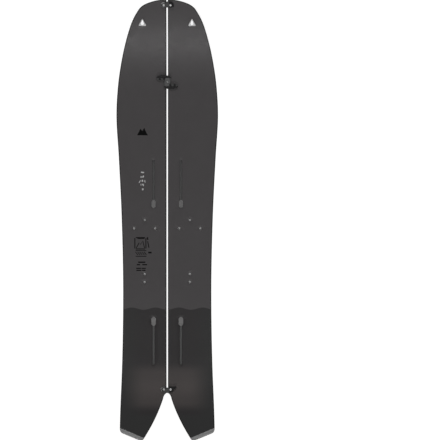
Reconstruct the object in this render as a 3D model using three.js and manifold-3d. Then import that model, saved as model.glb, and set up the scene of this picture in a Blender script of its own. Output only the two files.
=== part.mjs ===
// Splitboard: a swallow-tail snowboard that splits lengthwise into two touring skis.
// Millimetres. +Y points to the nose and +Z up. The origin is the middle of the footprint, on the ground.
import * as THREE from "three";
import { mergeVertices } from "three/addons/utils/BufferGeometryUtils.js";
import Module from "manifold-3d";

const wasm = await Module();
wasm.setup();

// ---- Driving dimensions ----

const LENGTH = 1480;
const NOSE_Y = LENGTH / 2;
const TAIL_Y = -LENGTH / 2;
const HALF_GAP = 2.4; // from the centre line to each half's inner edge
const BOARD_RIGHT = 180; // half the width of the blanks that the layers are cut from

// Half width of the board at distances from the nose tip.
const HALF_WIDTHS = [
  [0, 0],
  [5.4, 42],
  [18.8, 78.5],
  [27.5, 90],
  [42, 100.5],
  [69, 115.4],
  [123, 134.1],
  [203, 152.7],
  [284, 164.6],
  [391, 170.2],
  [525, 162.5],
  [740, 152.3],
  [985, 147.7],
  [1240, 151.9],
  [1390, 157.8],
  [1437, 159],
];
const OUTLINE_STEPS = 26;
const OUTLINE_CROWDING = 2.3; // above 1 crowds the outline's points towards the nose
const CORNER_STEPS = 4;
const NOTCH_STEPS = 7;
const ARCH_STEPS = 5;

// Tail: corner, straight trailing edge, tip, and the notch between the two tips.
const CORNER_CONTROL = [158.8, -709.9];
const CORNER_END = [147, -714.2];
const TAIL_TIP = [84.5, TAIL_Y];
const NOTCH_FOOT = [14, -597];
const NOTCH_FLARE = [0.322, 0.0012]; // slope and growth of the notch's half width below its arch
const NOTCH_ARCH_CONTROL = [12.2, -583.5];
const NOTCH_APEX = [HALF_GAP, -578];

// Side profile: contact strips on the ground, camber between them, raised nose and tail.
const NOSE_CONTACT = [395, 425];
const TAIL_CONTACT = [-540, -510];
const PLATFORM = [-225, 35]; // flat stretch under the bindings
const CAMBER = 4;
const NOSE_RISE = 52;
const NOSE_RISE_POWER = 2.2;
const TAIL_RISE = 16;
const THICKNESS = 10;
const FULL_THICKNESS = [-455, 335]; // stretch that keeps the full thickness
const NOSE_THICKNESS = 6.2;
const TAIL_THICKNESS = 6.5;
// Where the profile may bend. Each piece of hardware sits on one flat stretch.
const STATIONS = [
  NOSE_Y + 1, 706, 668, 628, 584, 538, 492, 436, 425, 395, 305, 215, 125, 35,
  -225, -296, -367, -455, -510, -540, -545, -590, -640, -690, TAIL_Y - 1,
];

// Heights of the layers above the underside, or below the top side.
const GLUE = 0.05;
const BASE_TOP = 1.3;
const EDGE_FLANGE_LOW = 1.4;
const EDGE_TOP = 1.95;
const LOWER_LAMINATE = [2.0, 2.6];
const CORE_LOW = 2.65;
const CORE_DOWN = 1.3; // below the top side
const UPPER_LAMINATE_DOWN = [1.25, 0.65];
const TOPSHEET_DOWN = 0.6;

// Widths of the pieces round the rim.
const EDGE_WIDTH = 2.2;
const EDGE_FLANGE_WIDTH = 5.5;
const OUTER_SIDEWALL = 8;
const INNER_SIDEWALL = 4.6;
const LAMINATE_INSET = 0.3;
const RIM_GAP = 0.1;

// Tail guard: a strip that caps the trailing edge, wider on top than underneath.
const GUARD_TOP_WIDTH = 13.5;
const GUARD_WIDTH = 7;

// Colour change in the base: a wavy cut.
const WAVE_Y = -295;
const WAVE_HEIGHT = 3.7;
const WAVE_PERIOD = 79;
const WAVE_STEPS = 18;

// Tip holes and their grommets: each outline goes round a small circle ahead and two larger ones behind.
const TIP_HOLE = [83, 660];
const TIP_OPENING = { ahead: 11, tip: 1.9, across: 5.6, behind: 3.8, corner: 3 };
const GROMMET_FLANGE = { ahead: 13, tip: 1.8, across: 9.35, behind: 5.4, corner: 2.8 };
const GROMMET_SLEEVE = [-0.3, -1.1]; // outside and inside, against the opening
const GROMMET_SLEEVE_FOOT = 0.4; // above the underside
const GROMMET_PLATE_HEIGHT = [0.1, 1.3];
const PEAR = { ahead: 11, tip: 0.7, behind: 0.6, radius: 4.9 }; // the opening in the flange

// Binding hardware in each half.
const CHANNEL_X = 45.8;
const CHANNELS = {
  front: { slot: [203, 60], slotWidth: 6.8, pocket: [69, 42], pocketWidth: 15 },
  rear: { slot: [-343, -482.9], slotWidth: 6.8, pocket: [-323.6, -352.7], pocketWidth: 16 },
};
const CHANNEL_BORDER = 4; // metal left round the pocket and slot
const CHANNEL_WALL_HEIGHTS = { floor: 3.6, cavity: 4.5, lips: 2.8, top: 1.35 };
const CHANNEL_CAVITY_WIDTH = 11.6;
const INSERTS = {
  toe_insert_1: [75.8, 2.1],
  toe_insert_2: [40.2, -26.1],
  toe_insert_3: [111.4, -26.1],
  heel_insert_1: [75.8, -179],
  heel_insert_2: [75.8, -205.8],
};
const INSERT_RADIUS = 3.6;
const INSERT_BORE = 2.6;
const INSERT_FLANGE = 8;
const INSERT_FLANGE_HEIGHT = 1.2;
const INSERT_CLEARANCE = 0.2;
const INSERT_TOP_DOWN = 0.15; // below the top side
const INSERT_FLOOR = 0.6; // metal under the bore, above the flange

// Hardware across the seam.
const SHANK_RADIUS = 2.5;
const SHANK_HOLE = 2.8;
const SHANK_DEPTH = 3;
const SHANK_SPARE = 0.3; // room under a shank
const HEAD_CHAMFER = 0.5;
const PLATE_HEIGHT = [0.3, 1.8];
const PLATE_RADIUS = 10.4;
const LATCH_HEIGHT = [2.1, 5.1];
const LATCH_DISC = 9.2; // radius round the pivot
const LATCH_SHOULDER = 6.2; // how far the arm reaches towards the nose
const POST_RADIUS = 3.7;
const POST_CLEARANCE = 0.7;
const POST_HEIGHT = [2, 5.6];
const PIVOT_HEAD = { radius: 3.9, low: 5.3, high: 6.6 };
const JAW_RADIUS = 8;
const SWING_STEPS = 10; // sides of the path that the latch clears for the post
const SLIDE_ROOM = 20; // how far the straight way out of the jaw is kept open
const NOSE_THUMB_RAISE = 1.2; // above the latch
const TAIL_THUMB_RAISE = 1.6;
// Flaps of the latches over the seam, from the pivot.
const NOSE_FLAP = [[0, 8.8], [-7, 12.3], [-12.3, 12.1], [-15.6, 7.4], [-15.6, 0], [0, 0]];
const TAIL_FLAP = [[0, 0], [-15.6, 0], [-15.6, -7.4], [-13.4, -11.9], [-8, -12], [0, -8.8]];
const NOSE_CLIP = { y: 721.7, x: 11, flap: NOSE_FLAP };
const TAIL_CLIP = { y: -565.7, x: 11.2, flap: TAIL_FLAP };
const PLATE_SEAM_X = HALF_GAP + 0.5; // how near the plates come to the centre line
const HOOK_Y = 464.2;
const HOOK_HEIGHT = [0.3, 4.3];
const HOOK_RIDGE_TOP = 5.6;
const CLAW_LOW = 1.5; // underside of the claw, past the seam
const HOOK_REACH = 30; // more than the hook reaches past the seam
const HOOK_RIVETS = [[-24.8, 9.9], [-10.2, 10.6]];
const RIVET_HEAD = { radius: 3.8, low: 4.4, high: 5.8 };
const ROUND = 16; // sides of a round piece
const SMALL_ROUND = 8;
const STADIUM_ARC = 4; // sides of a slot's round end
const STRAIGHT = 1e-3; // sine of the turn below which an outline counts as straight

// Limits of the blanks that the layers are cut from.
const SPARE = 0.5;
const BEYOND = 5; // how far a cutter reaches past what it cuts
const UNDERGROUND = -10;
const OVERHEAD = 1.5 * NOSE_RISE;

const COLOURS = {
  topsheet: 0x434041,
  base: 0x211f20,
  gold: 0x8f7338,
  steel: 0x9a9c9b,
  sidewall: 0x1d1c1d,
  fibre: 0xb9b28c,
  wood: 0xc8a06a,
  guard: 0x787878,
  aluminium: 0xa9a9a9,
  channel: 0x6a6a6a,
  black: 0x1a1819,
  grey: 0x8b8a8b,
};
const METALS = ["steel", "aluminium", "channel", "grey", "guard"];
const METAL_FINISH = { roughness: 0.35, metalness: 0.9 };
const PLASTIC_FINISH = { roughness: 0.6, metalness: 0 };

// ---- Solids ----

// A closed geometry as a manifold solid, after an optional matrix.
function toSolid(geometry, matrix = new THREE.Matrix4()) {
  const bare = new THREE.BufferGeometry();
  const flat = geometry.index ? geometry.toNonIndexed() : geometry;
  bare.setAttribute("position", flat.getAttribute("position").clone());
  bare.applyMatrix4(matrix);
  const merged = mergeVertices(bare, 1e-4);
  const mesh = new wasm.Mesh({
    numProp: 3,
    vertProperties: merged.attributes.position.array,
    triVerts: new Uint32Array(merged.index.array),
  });
  return new wasm.Manifold(mesh);
}

function toGeometry(solid) {
  const mesh = solid.getMesh();
  const geometry = new THREE.BufferGeometry();
  geometry.setAttribute("position", new THREE.BufferAttribute(mesh.vertProperties, 3));
  geometry.setIndex(new THREE.BufferAttribute(mesh.triVerts, 1));
  return geometry;
}

// An upright prism with the given plan.
function prism(points, low, high) {
  const shape = new THREE.Shape(points.map(([x, y]) => new THREE.Vector2(x, y)));
  const geometry = new THREE.ExtrudeGeometry(shape, { depth: high - low, bevelEnabled: false });
  return toSolid(geometry.translate(0, 0, low));
}

function regularPoints([x, y], radius, sides) {
  return Array.from({ length: sides }, (_, i) => {
    const turn = (2 * Math.PI * i) / sides;
    return [x + radius * Math.cos(turn), y + radius * Math.sin(turn)];
  });
}

function disc(centre, radius, low, high, sides = ROUND) {
  return prism(regularPoints(centre, radius, sides), low, high);
}

// A turned solid: the profile is a closed list of [radius, height].
function turned(profile, sides = ROUND) {
  const closed = [...profile, profile[0]].map(([r, z]) => new THREE.Vector2(r, z));
  const geometry = new THREE.LatheGeometry(closed, sides);
  return toSolid(geometry, new THREE.Matrix4().makeRotationX(Math.PI / 2));
}

function moved(solid, [x, y]) {
  return toSolid(toGeometry(solid), new THREE.Matrix4().makeTranslation(x, y, 0));
}

function turnedHalfWay(solid) {
  return toSolid(toGeometry(solid), new THREE.Matrix4().makeRotationZ(Math.PI));
}

function cutAll(solid, cutters) {
  return cutters.reduce((rest, cutter) => rest.subtract(cutter), solid);
}

// ---- Side profile ----

function smoothStep(t) {
  const u = Math.min(1, Math.max(0, t));
  return u * u * (3 - 2 * u);
}

// Height of the underside above the ground.
function undersideCurve(y) {
  if (y > NOSE_CONTACT[1]) {
    return NOSE_RISE * ((y - NOSE_CONTACT[1]) / (NOSE_Y - NOSE_CONTACT[1])) ** NOSE_RISE_POWER;
  }
  if (y < TAIL_CONTACT[0]) {
    return TAIL_RISE * ((TAIL_CONTACT[0] - y) / (TAIL_CONTACT[0] - TAIL_Y)) ** 2;
  }
  const front = smoothStep((NOSE_CONTACT[0] - y) / (NOSE_CONTACT[0] - PLATFORM[1]));
  const rear = smoothStep((y - TAIL_CONTACT[1]) / (PLATFORM[0] - TAIL_CONTACT[1]));
  return CAMBER * Math.min(front, rear);
}

function thicknessCurve(y) {
  const [rear, front] = FULL_THICKNESS;
  if (y > front) return THICKNESS - ((THICKNESS - NOSE_THICKNESS) * (y - front)) / (NOSE_Y - front);
  if (y < rear) return THICKNESS - ((THICKNESS - TAIL_THICKNESS) * (rear - y)) / (rear - TAIL_Y);
  return THICKNESS;
}

// A curve replaced by straight stretches between the stations.
function facetted(curve) {
  return (y) => {
    const i = Math.max(1, STATIONS.findIndex((station) => station <= y));
    const [front, rear] = STATIONS.slice(i - 1, i + 1);
    const t = (y - rear) / (front - rear);
    return curve(rear) * (1 - t) + curve(front) * t;
  };
}

const underside = facetted(undersideCurve);
const topside = facetted((y) => undersideCurve(y) + thicknessCurve(y));
const above = (distance) => (y) => underside(y) + distance;
const below = (distance) => (y) => topside(y) - distance;

// A bent slab as wide as the board, between two heights that follow the profile, over a stretch of it.
function slab(low, high, [rear, front]) {
  const bends = STATIONS.filter((y) => y > rear && y < front);
  const places = [front, ...bends, rear];
  const lower = places.map((y) => new THREE.Vector2(y, low(y)));
  const upper = places.reverse().map((y) => new THREE.Vector2(y, high(y)));
  const depth = 2 * BOARD_RIGHT;
  const geometry = new THREE.ExtrudeGeometry(new THREE.Shape([...lower, ...upper]), {
    depth,
    bevelEnabled: false,
  });
  const alongX = new THREE.Matrix4().set(0, 0, 1, -BOARD_RIGHT, 1, 0, 0, 0, 0, 1, 0, 0, 0, 0, 0, 1);
  return toSolid(geometry, alongX);
}

// A plate with the given plan that follows the board's profile.
function plate(points, low, high) {
  const ys = points.map(([, y]) => y);
  const stretch = [Math.min(...ys) - SPARE, Math.max(...ys) + SPARE];
  return prism(points, UNDERGROUND, OVERHEAD).intersect(slab(low, high, stretch));
}

// ---- Plan outline of the right half ----

// Half width at a distance from the nose tip, smooth in the square root of the distance.
function halfWidth(distance) {
  const knots = HALF_WIDTHS.map(([s, w]) => [Math.sqrt(s), w]);
  const q = Math.sqrt(distance);
  const last = knots.length - 1;
  const slope = (i) => (knots[i + 1][1] - knots[i][1]) / (knots[i + 1][0] - knots[i][0]);
  const tangent = (i) => {
    if (i === 0) return slope(0);
    if (i === last) return slope(last - 1);
    const before = knots[i][0] - knots[i - 1][0];
    const after = knots[i + 1][0] - knots[i][0];
    return (slope(i - 1) * after + slope(i) * before) / (before + after);
  };
  let i = 0;
  while (i < last - 1 && q > knots[i + 1][0]) i += 1;
  const span = knots[i + 1][0] - knots[i][0];
  const t = (q - knots[i][0]) / span;
  const ease = t * t * (3 - 2 * t);
  const start = knots[i][1] * (1 - ease) + knots[i + 1][1] * ease;
  return start + span * (tangent(i) * t * (1 - t) ** 2 - tangent(i + 1) * t * t * (1 - t));
}

function bezier(start, control, end, steps) {
  const curve = new THREE.QuadraticBezierCurve(
    new THREE.Vector2(...start),
    new THREE.Vector2(...control),
    new THREE.Vector2(...end),
  );
  return curve.getPoints(steps).map((point) => [point.x, point.y]);
}

// Points clockwise from the nose, and for each the side of the board that its next stretch is on.
function halfOutline() {
  const points = [];
  const sides = [];
  const add = (side, list) => {
    points.push(...list);
    sides.push(...list.map(() => side));
  };
  const cornerDistance = HALF_WIDTHS.at(-1)[0];
  const flank = Array.from({ length: OUTLINE_STEPS }, (_, i) => {
    const distance = cornerDistance * ((i + 1) / OUTLINE_STEPS) ** OUTLINE_CROWDING;
    return [halfWidth(distance), NOSE_Y - distance];
  });
  add("outer", [[HALF_GAP, NOSE_Y], ...flank]);
  add("outer", bezier(flank.at(-1), CORNER_CONTROL, CORNER_END, CORNER_STEPS).slice(1, -1));
  add("tail", [CORNER_END]);
  const notch = Array.from({ length: NOTCH_STEPS + 1 }, (_, i) => {
    const drop = ((NOTCH_FOOT[1] - TAIL_Y) * (NOTCH_STEPS - i)) / NOTCH_STEPS;
    return [NOTCH_FOOT[0] + NOTCH_FLARE[0] * drop + NOTCH_FLARE[1] * drop ** 2, NOTCH_FOOT[1] - drop];
  });
  notch[0] = TAIL_TIP;
  add("inner", notch.slice(0, -1));
  add("inner", bezier(NOTCH_FOOT, NOTCH_ARCH_CONTROL, NOTCH_APEX, ARCH_STEPS));
  return { points, sides };
}

const OUTLINE = halfOutline();

// The outline moved inwards, by one distance along the outer side and another along the inner side.
function insetOutline(outer, inner) {
  const { points, sides } = OUTLINE;
  const count = points.length;
  const distance = { outer, inner, tail: 0 };
  const direction = (a, b) => {
    const size = Math.hypot(b[0] - a[0], b[1] - a[1]);
    return [(b[0] - a[0]) / size, (b[1] - a[1]) / size];
  };
  return points.map((point, i) => {
    const before = (i + count - 1) % count;
    const u = direction(points[before], point);
    const v = direction(point, points[(i + 1) % count]);
    const du = distance[sides[before]];
    const dv = distance[sides[i]];
    const moveU = [du * u[1], -du * u[0]];
    const moveV = [dv * v[1], -dv * v[0]];
    const cross = u[0] * v[1] - u[1] * v[0];
    if (Math.abs(cross) < STRAIGHT) return [point[0] + moveU[0], point[1] + moveU[1]];
    const along = ((moveV[0] - moveU[0]) * v[1] - (moveV[1] - moveU[1]) * v[0]) / cross;
    return [point[0] + moveU[0] + along * u[0], point[1] + moveU[1] + along * u[1]];
  });
}

// The strip along one side of the outline, between two insets.
function rimStrip(side, near, far) {
  const nearPoints = insetOutline(...near);
  const farPoints = insetOutline(...far);
  const first = OUTLINE.sides.indexOf(side);
  const steps = OUTLINE.sides.filter((name) => name === side).length;
  const indices = Array.from({ length: steps + 1 }, (_, i) => (first + i) % OUTLINE.points.length);
  const shortened = (list) => {
    const path = indices.map((i) => [...list[i]]);
    const noseFirst = side === "outer";
    const tip = noseFirst ? path[0] : path.at(-1);
    if (noseFirst) tip[0] += RIM_GAP;
    else tip[1] -= RIM_GAP;
    return path;
  };
  return [...shortened(nearPoints), ...shortened(farPoints).reverse()];
}

// Signed distance of a point beyond the trailing edge.
function beyondTrailingEdge([x, y]) {
  const [dx, dy] = [CORNER_END[0] - TAIL_TIP[0], CORNER_END[1] - TAIL_TIP[1]];
  return ((x - TAIL_TIP[0]) * dy - (y - TAIL_TIP[1]) * dx) / Math.hypot(dx, dy);
}

// The part of a plan where the measure is at most the limit.
function clipped(points, measure, limit) {
  const result = [];
  points.forEach((point, i) => {
    const next = points[(i + 1) % points.length];
    const [a, b] = [measure(point) - limit, measure(next) - limit];
    if (a <= 0) result.push(point);
    if (a * b < 0) {
      const t = a / (a - b);
      result.push([point[0] + t * (next[0] - point[0]), point[1] + t * (next[1] - point[1])]);
    }
  });
  return result;
}

function aheadOfGuard(points, guardWidth) {
  return clipped(points, beyondTrailingEdge, -guardWidth - RIM_GAP);
}

function insideGuard(points, guardWidth) {
  return clipped(points, (point) => -beyondTrailingEdge(point), guardWidth);
}

// A strip with round ends along Y, from one end of its length to the other.
function stadium(x, [front, rear], width) {
  const radius = width / 2;
  const end = (y, turn) =>
    Array.from({ length: STADIUM_ARC + 1 }, (_, i) => {
      const angle = turn + (Math.PI * i) / STADIUM_ARC;
      return [x + radius * Math.cos(angle), y + radius * Math.sin(angle)];
    });
  return [...end(front - radius, 0), ...end(rear + radius, Math.PI)];
}

const grown = ([front, rear], distance) => [front + distance, rear - distance];

// ---- Pieces inside one half, built for the right half ----

function channelOpening({ slot, slotWidth, pocket, pocketWidth }, extra, low, high) {
  const slotPart = plate(stadium(CHANNEL_X, grown(slot, extra), slotWidth + 2 * extra), low, high);
  const pocketPlan = stadium(CHANNEL_X, grown(pocket, extra), pocketWidth + 2 * extra);
  return slotPart.add(plate(pocketPlan, low, high));
}

function channelBlank({ slot, pocket, pocketWidth }, extra, low, high) {
  const ends = [Math.max(slot[0], pocket[0]), Math.min(slot[1], pocket[1])];
  const reach = CHANNEL_BORDER + extra;
  return plate(stadium(CHANNEL_X, grown(ends, reach), pocketWidth + 2 * reach), low, high);
}

// A metal bar with a T-shaped slot and the pocket where nuts drop in.
function channel(spec) {
  const heights = CHANNEL_WALL_HEIGHTS;
  const blank = channelBlank(spec, 0, above(heights.floor), below(heights.top));
  const opening = channelOpening(spec, 0, above(heights.cavity), below(0));
  const cavityPlan = stadium(CHANNEL_X, spec.slot, CHANNEL_CAVITY_WIDTH);
  const cavity = plate(cavityPlan, above(heights.cavity), below(heights.lips));
  return cutAll(blank, [opening, cavity]);
}

// A threaded insert: a flanged barrel with a blind bore, open at the top.
function insert(centre) {
  const low = CAMBER + CORE_LOW;
  const high = CAMBER + THICKNESS - INSERT_TOP_DOWN;
  const shoulder = low + INSERT_FLANGE_HEIGHT;
  const boreFloor = shoulder + INSERT_FLOOR;
  const profile = [
    [0, low],
    [INSERT_FLANGE, low],
    [INSERT_FLANGE, shoulder],
    [INSERT_RADIUS, shoulder],
    [INSERT_RADIUS, high],
    [INSERT_BORE, high],
    [INSERT_BORE, boreFloor],
    [0, boreFloor],
  ];
  return moved(turned(profile, SMALL_ROUND), centre);
}

function insertHole(centre) {
  const radius = INSERT_RADIUS + INSERT_CLEARANCE;
  return disc(centre, radius, 0, 2 * THICKNESS, SMALL_ROUND);
}

function insertFlangeHole(centre) {
  const top = CAMBER + CORE_LOW + INSERT_FLANGE_HEIGHT + GLUE;
  return disc(centre, INSERT_FLANGE + INSERT_CLEARANCE, 0, top, SMALL_ROUND);
}

// A rounded triangle round the tip hole's centre, pointing ahead.
function roundedTriangle({ ahead, tip, across, behind, corner }, extra) {
  const [x, y] = TIP_HOLE;
  return hullPoints([
    ...regularPoints([x, y + ahead], tip + extra, SMALL_ROUND),
    ...regularPoints([x - across, y - behind], corner + extra, SMALL_ROUND),
    ...regularPoints([x + across, y - behind], corner + extra, SMALL_ROUND),
  ]);
}

// The grommet: a sleeve through the tip hole under a rounded triangular flange with a pear-shaped opening.
function grommet() {
  const [x, y] = TIP_HOLE;
  const openingPlan = hullPoints([
    ...regularPoints([x, y + PEAR.ahead], PEAR.tip, SMALL_ROUND),
    ...regularPoints([x, y - PEAR.behind], PEAR.radius, ROUND),
  ]);
  const [low, high] = GROMMET_PLATE_HEIGHT;
  const flange = plate(roundedTriangle(GROMMET_FLANGE, 0), below(-low), below(-high));
  const [outside, inside] = GROMMET_SLEEVE.map((extra) => roundedTriangle(TIP_OPENING, extra));
  const sleeve = plate(outside, above(GROMMET_SLEEVE_FOOT), below(-(low + high) / 2));
  const bore = plate(inside, above(-BEYOND), below(0));
  const opening = plate(openingPlan, above(0), below(-high - BEYOND));
  return cutAll(flange.add(sleeve), [bore, opening]);
}

// Convex outline round a set of plan points, anticlockwise.
function hullPoints(points) {
  const sorted = [...points].sort((a, b) => a[0] - b[0] || a[1] - b[1]);
  const cross = (o, a, b) => (a[0] - o[0]) * (b[1] - o[1]) - (a[1] - o[1]) * (b[0] - o[0]);
  const chain = (list) => {
    const result = [];
    for (const point of list) {
      while (result.length > 1 && cross(result.at(-2), result.at(-1), point) <= 0) result.pop();
      result.push(point);
    }
    return result.slice(0, -1);
  };
  return [...chain(sorted), ...chain(sorted.reverse())];
}

// The wavy line where the base changes colour, closed round everything ahead of it.
function aheadOfWave(shift) {
  const wave = Array.from({ length: WAVE_STEPS + 1 }, (_, i) => {
    const x = (BOARD_RIGHT * i) / WAVE_STEPS;
    return [x, WAVE_Y + shift - WAVE_HEIGHT * Math.cos((2 * Math.PI * x) / WAVE_PERIOD)];
  });
  return [...wave, [BOARD_RIGHT, NOSE_Y + BEYOND], [0, NOSE_Y + BEYOND]];
}

function edgeStrip(side, guardWidth) {
  const width = [EDGE_WIDTH, EDGE_WIDTH];
  const flangeNear = [EDGE_WIDTH - SPARE, EDGE_WIDTH - SPARE];
  const flangeFar = [EDGE_FLANGE_WIDTH, EDGE_FLANGE_WIDTH];
  const head = plate(aheadOfGuard(rimStrip(side, [0, 0], width), guardWidth), above(0), above(EDGE_TOP));
  const flangePlan = aheadOfGuard(rimStrip(side, flangeNear, flangeFar), guardWidth);
  return head.add(plate(flangePlan, above(EDGE_FLANGE_LOW), above(EDGE_TOP)));
}

// Every piece laminated into a half. The hardware's screw holes are cut by the caller's list.
function halfLayers(screwHoles) {
  const tipHole = prism(roundedTriangle(TIP_OPENING, 0), UNDERGROUND, OVERHEAD);
  const insertCentres = Object.values(INSERTS);
  const openings = Object.values(CHANNELS).map((spec) => {
    return channelOpening(spec, RIM_GAP, above(0), below(-BEYOND));
  });
  const channelRoom = Object.values(CHANNELS).map((spec) => {
    return channelBlank(spec, GLUE, above(CHANNEL_WALL_HEIGHTS.floor - GLUE), below(-BEYOND));
  });
  const insertHoles = insertCentres.map(insertHole);
  const topCutters = [tipHole, ...openings, ...insertHoles, ...screwHoles];
  const coreCutters = [
    tipHole,
    ...channelRoom,
    ...insertHoles,
    ...insertCentres.map(insertFlangeHole),
    ...screwHoles,
  ];
  const fullPlan = insetOutline(0, 0);
  const laminatePlan = insetOutline(LAMINATE_INSET, LAMINATE_INSET);
  const basePlan = insetOutline(EDGE_WIDTH + GLUE, EDGE_WIDTH + GLUE);
  const corePlan = insetOutline(OUTER_SIDEWALL + GLUE, INNER_SIDEWALL + GLUE);
  const sidewall = (side) => {
    const plan = rimStrip(side, [0, 0], [OUTER_SIDEWALL, INNER_SIDEWALL]);
    return plate(aheadOfGuard(plan, GUARD_WIDTH), above(CORE_LOW), below(CORE_DOWN));
  };
  const base = plate(aheadOfGuard(basePlan, GUARD_WIDTH), above(0), above(BASE_TOP));
  const lower = plate(aheadOfGuard(laminatePlan, GUARD_WIDTH), ...LOWER_LAMINATE.map(above));
  const core = plate(aheadOfGuard(corePlan, GUARD_WIDTH), above(CORE_LOW), below(CORE_DOWN));
  const upper = plate(aheadOfGuard(laminatePlan, GUARD_TOP_WIDTH), ...UPPER_LAMINATE_DOWN.map(below));
  const top = plate(aheadOfGuard(fullPlan, GUARD_TOP_WIDTH), below(TOPSHEET_DOWN), below(0));
  const guardBlock = plate(insideGuard(fullPlan, GUARD_WIDTH), above(0), below(0));
  const guardLip = plate(insideGuard(fullPlan, GUARD_TOP_WIDTH), below(CORE_DOWN - GLUE), below(0));
  const inserts = Object.entries(INSERTS).map(([name, centre]) => [name, [insert(centre), "aluminium"]]);
  return {
    base_front: [base.intersect(prism(aheadOfWave(0), UNDERGROUND, OVERHEAD)).subtract(tipHole), "base"],
    base_tail: [base.subtract(prism(aheadOfWave(-RIM_GAP), UNDERGROUND, OVERHEAD)), "gold"],
    outer_edge: [edgeStrip("outer", GUARD_WIDTH), "steel"],
    inner_edge: [edgeStrip("inner", GUARD_WIDTH), "steel"],
    lower_laminate: [lower.subtract(tipHole), "fibre"],
    outer_sidewall: [sidewall("outer"), "sidewall"],
    inner_sidewall: [sidewall("inner"), "sidewall"],
    core: [cutAll(core, coreCutters), "wood"],
    upper_laminate: [cutAll(upper, topCutters), "fibre"],
    topsheet: [cutAll(top, topCutters), "topsheet"],
    tail_guard: [guardBlock.add(guardLip), "guard"],
    tip_grommet: [grommet(), "aluminium"],
    front_channel: [channel(CHANNELS.front), "channel"],
    rear_channel: [channel(CHANNELS.rear), "channel"],
    ...Object.fromEntries(inserts),
  };
}

// ---- Hardware across the seam, built flat in its own frame: +Y to the nose and z = 0 on the top side ----

// A screw or rivet: a shank down into the board under a chamfered head.
function fastener(centre, { radius, low, high }) {
  const profile = [
    [0, -SHANK_DEPTH],
    [SHANK_RADIUS, -SHANK_DEPTH],
    [SHANK_RADIUS, low],
    [radius, low],
    [radius, high - HEAD_CHAMFER],
    [radius - HEAD_CHAMFER, high],
    [0, high],
  ];
  return moved(turned(profile, ROUND), centre);
}

function shankHole(centre) {
  return disc(centre, SHANK_HOLE, -SHANK_DEPTH - SHANK_SPARE, 2 * BEYOND, SMALL_ROUND);
}

// The plate under a keeper post or a latch, on the side of the seam given by the sign.
function clipPlate(sign, x) {
  const round = regularPoints([sign * x, 0], PLATE_RADIUS, ROUND);
  const plan = clipped(round, ([px]) => -sign * px, -PLATE_SEAM_X);
  return prism(plan, ...PLATE_HEIGHT).subtract(shankHole([sign * x, 0]));
}

// The room that the post needs when the latch swings open, or when the halves slide apart.
function postRoom(reach, low, high) {
  const radius = POST_RADIUS + POST_CLEARANCE;
  const arc = (r, from, to) =>
    Array.from({ length: SWING_STEPS + 1 }, (_, i) => {
      const turn = from + ((to - from) * i) / SWING_STEPS;
      return [r * Math.cos(turn), r * Math.sin(turn)];
    });
  const swing = [...arc(reach + radius, Math.PI, Math.PI / 2), ...arc(reach - radius, Math.PI / 2, Math.PI)];
  const side = radius * Math.SQRT1_2;
  const slide = [
    [-reach - side, -side],
    [-reach + side, side],
    [-reach + side - SLIDE_ROOM, side + SLIDE_ROOM],
    [-reach - side - SLIDE_ROOM, -side + SLIDE_ROOM],
  ];
  return disc([-reach, 0], radius, low, high).add(prism(swing, low, high)).add(prism(slide, low, high));
}

// The latch, with its pivot at the origin and the post at -reach along X when closed. The flap hides the seam.
function latch(reach, flap, thumb) {
  const [low, high] = LATCH_HEIGHT;
  const armPlan = [
    [0, LATCH_SHOULDER],
    [-reach, LATCH_SHOULDER],
    [-reach, -JAW_RADIUS],
    [0, -LATCH_DISC],
  ];
  const blank = disc([0, 0], LATCH_DISC, low, high)
    .add(prism(armPlan, low, high))
    .add(disc([-reach, 0], JAW_RADIUS, low, high))
    .add(prism(flap, low, high))
    .add(thumb);
  const room = postRoom(reach, low - BEYOND, high + BEYOND);
  return cutAll(blank, [room, disc([0, 0], SHANK_HOLE, low - BEYOND, high + BEYOND)]);
}

// Short thumb lug of the nose latch.
function noseThumb() {
  const [low, high] = LATCH_HEIGHT;
  return prism([[6, -7], [11.6, -6], [11.6, -0.5], [8, 3]], low, high + NOSE_THUMB_RAISE);
}

// Thumb lever of the tail latch: an arm up and to the right, ending in a raised tab.
function tailThumb() {
  const [low, high] = LATCH_HEIGHT;
  const arm = prism([[5, -3], [13, 1], [17, 8], [12.5, 9], [4, 6]], low, high);
  const tab = prism([[11.9, 2.3], [15.4, -0.6], [19.6, 7.6], [16.4, 10.8]], low, high + TAIL_THUMB_RAISE);
  return arm.add(tab);
}

// The hook of the left half. Turned half way round, it is the hook of the right half.
function hook() {
  const [low, high] = HOOK_HEIGHT;
  const crest = [[-37, 15.5], [-30, 20.5], [-19, 23.2], [-7, 23.6], [4, 21.4], [12.7, 16.2]];
  const claw = [[13.2, 8], [11.5, 0.5], [8, -4.6], [4.9, -4.65]];
  const foot = [[-4.7, 4.95], [-29, 5.1], [-34.5, 9]];
  const ridgeInside = [[4, 17.2], [-8, 18.6], [-20, 18], [-30, 16.4]];
  const body = prism([...crest, ...claw, ...foot], low, high);
  const ridge = prism([...crest, ...ridgeInside], high - SPARE, HOOK_RIDGE_TOP);
  const seam = -HALF_GAP - SPARE;
  const underClawPlan = [
    [seam, -HOOK_REACH],
    [HOOK_REACH, -HOOK_REACH],
    [HOOK_REACH, HOOK_REACH],
    [seam, HOOK_REACH],
  ];
  const underClaw = prism(underClawPlan, low - BEYOND, CLAW_LOW);
  return cutAll(body.add(ridge), [underClaw, ...HOOK_RIVETS.map((centre) => shankHole(centre))]);
}

// ---- Assembly ----

const materials = Object.fromEntries(
  Object.entries(COLOURS).map(([name, color]) => {
    const metal = METALS.includes(name);
    const finish = metal ? METAL_FINISH : PLASTIC_FINISH;
    return [name, new THREE.MeshStandardMaterial({ color, ...finish })];
  }),
);

function named(name, solid, colour) {
  const mesh = new THREE.Mesh(toGeometry(solid), materials[colour]);
  mesh.name = name;
  return mesh;
}

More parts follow.
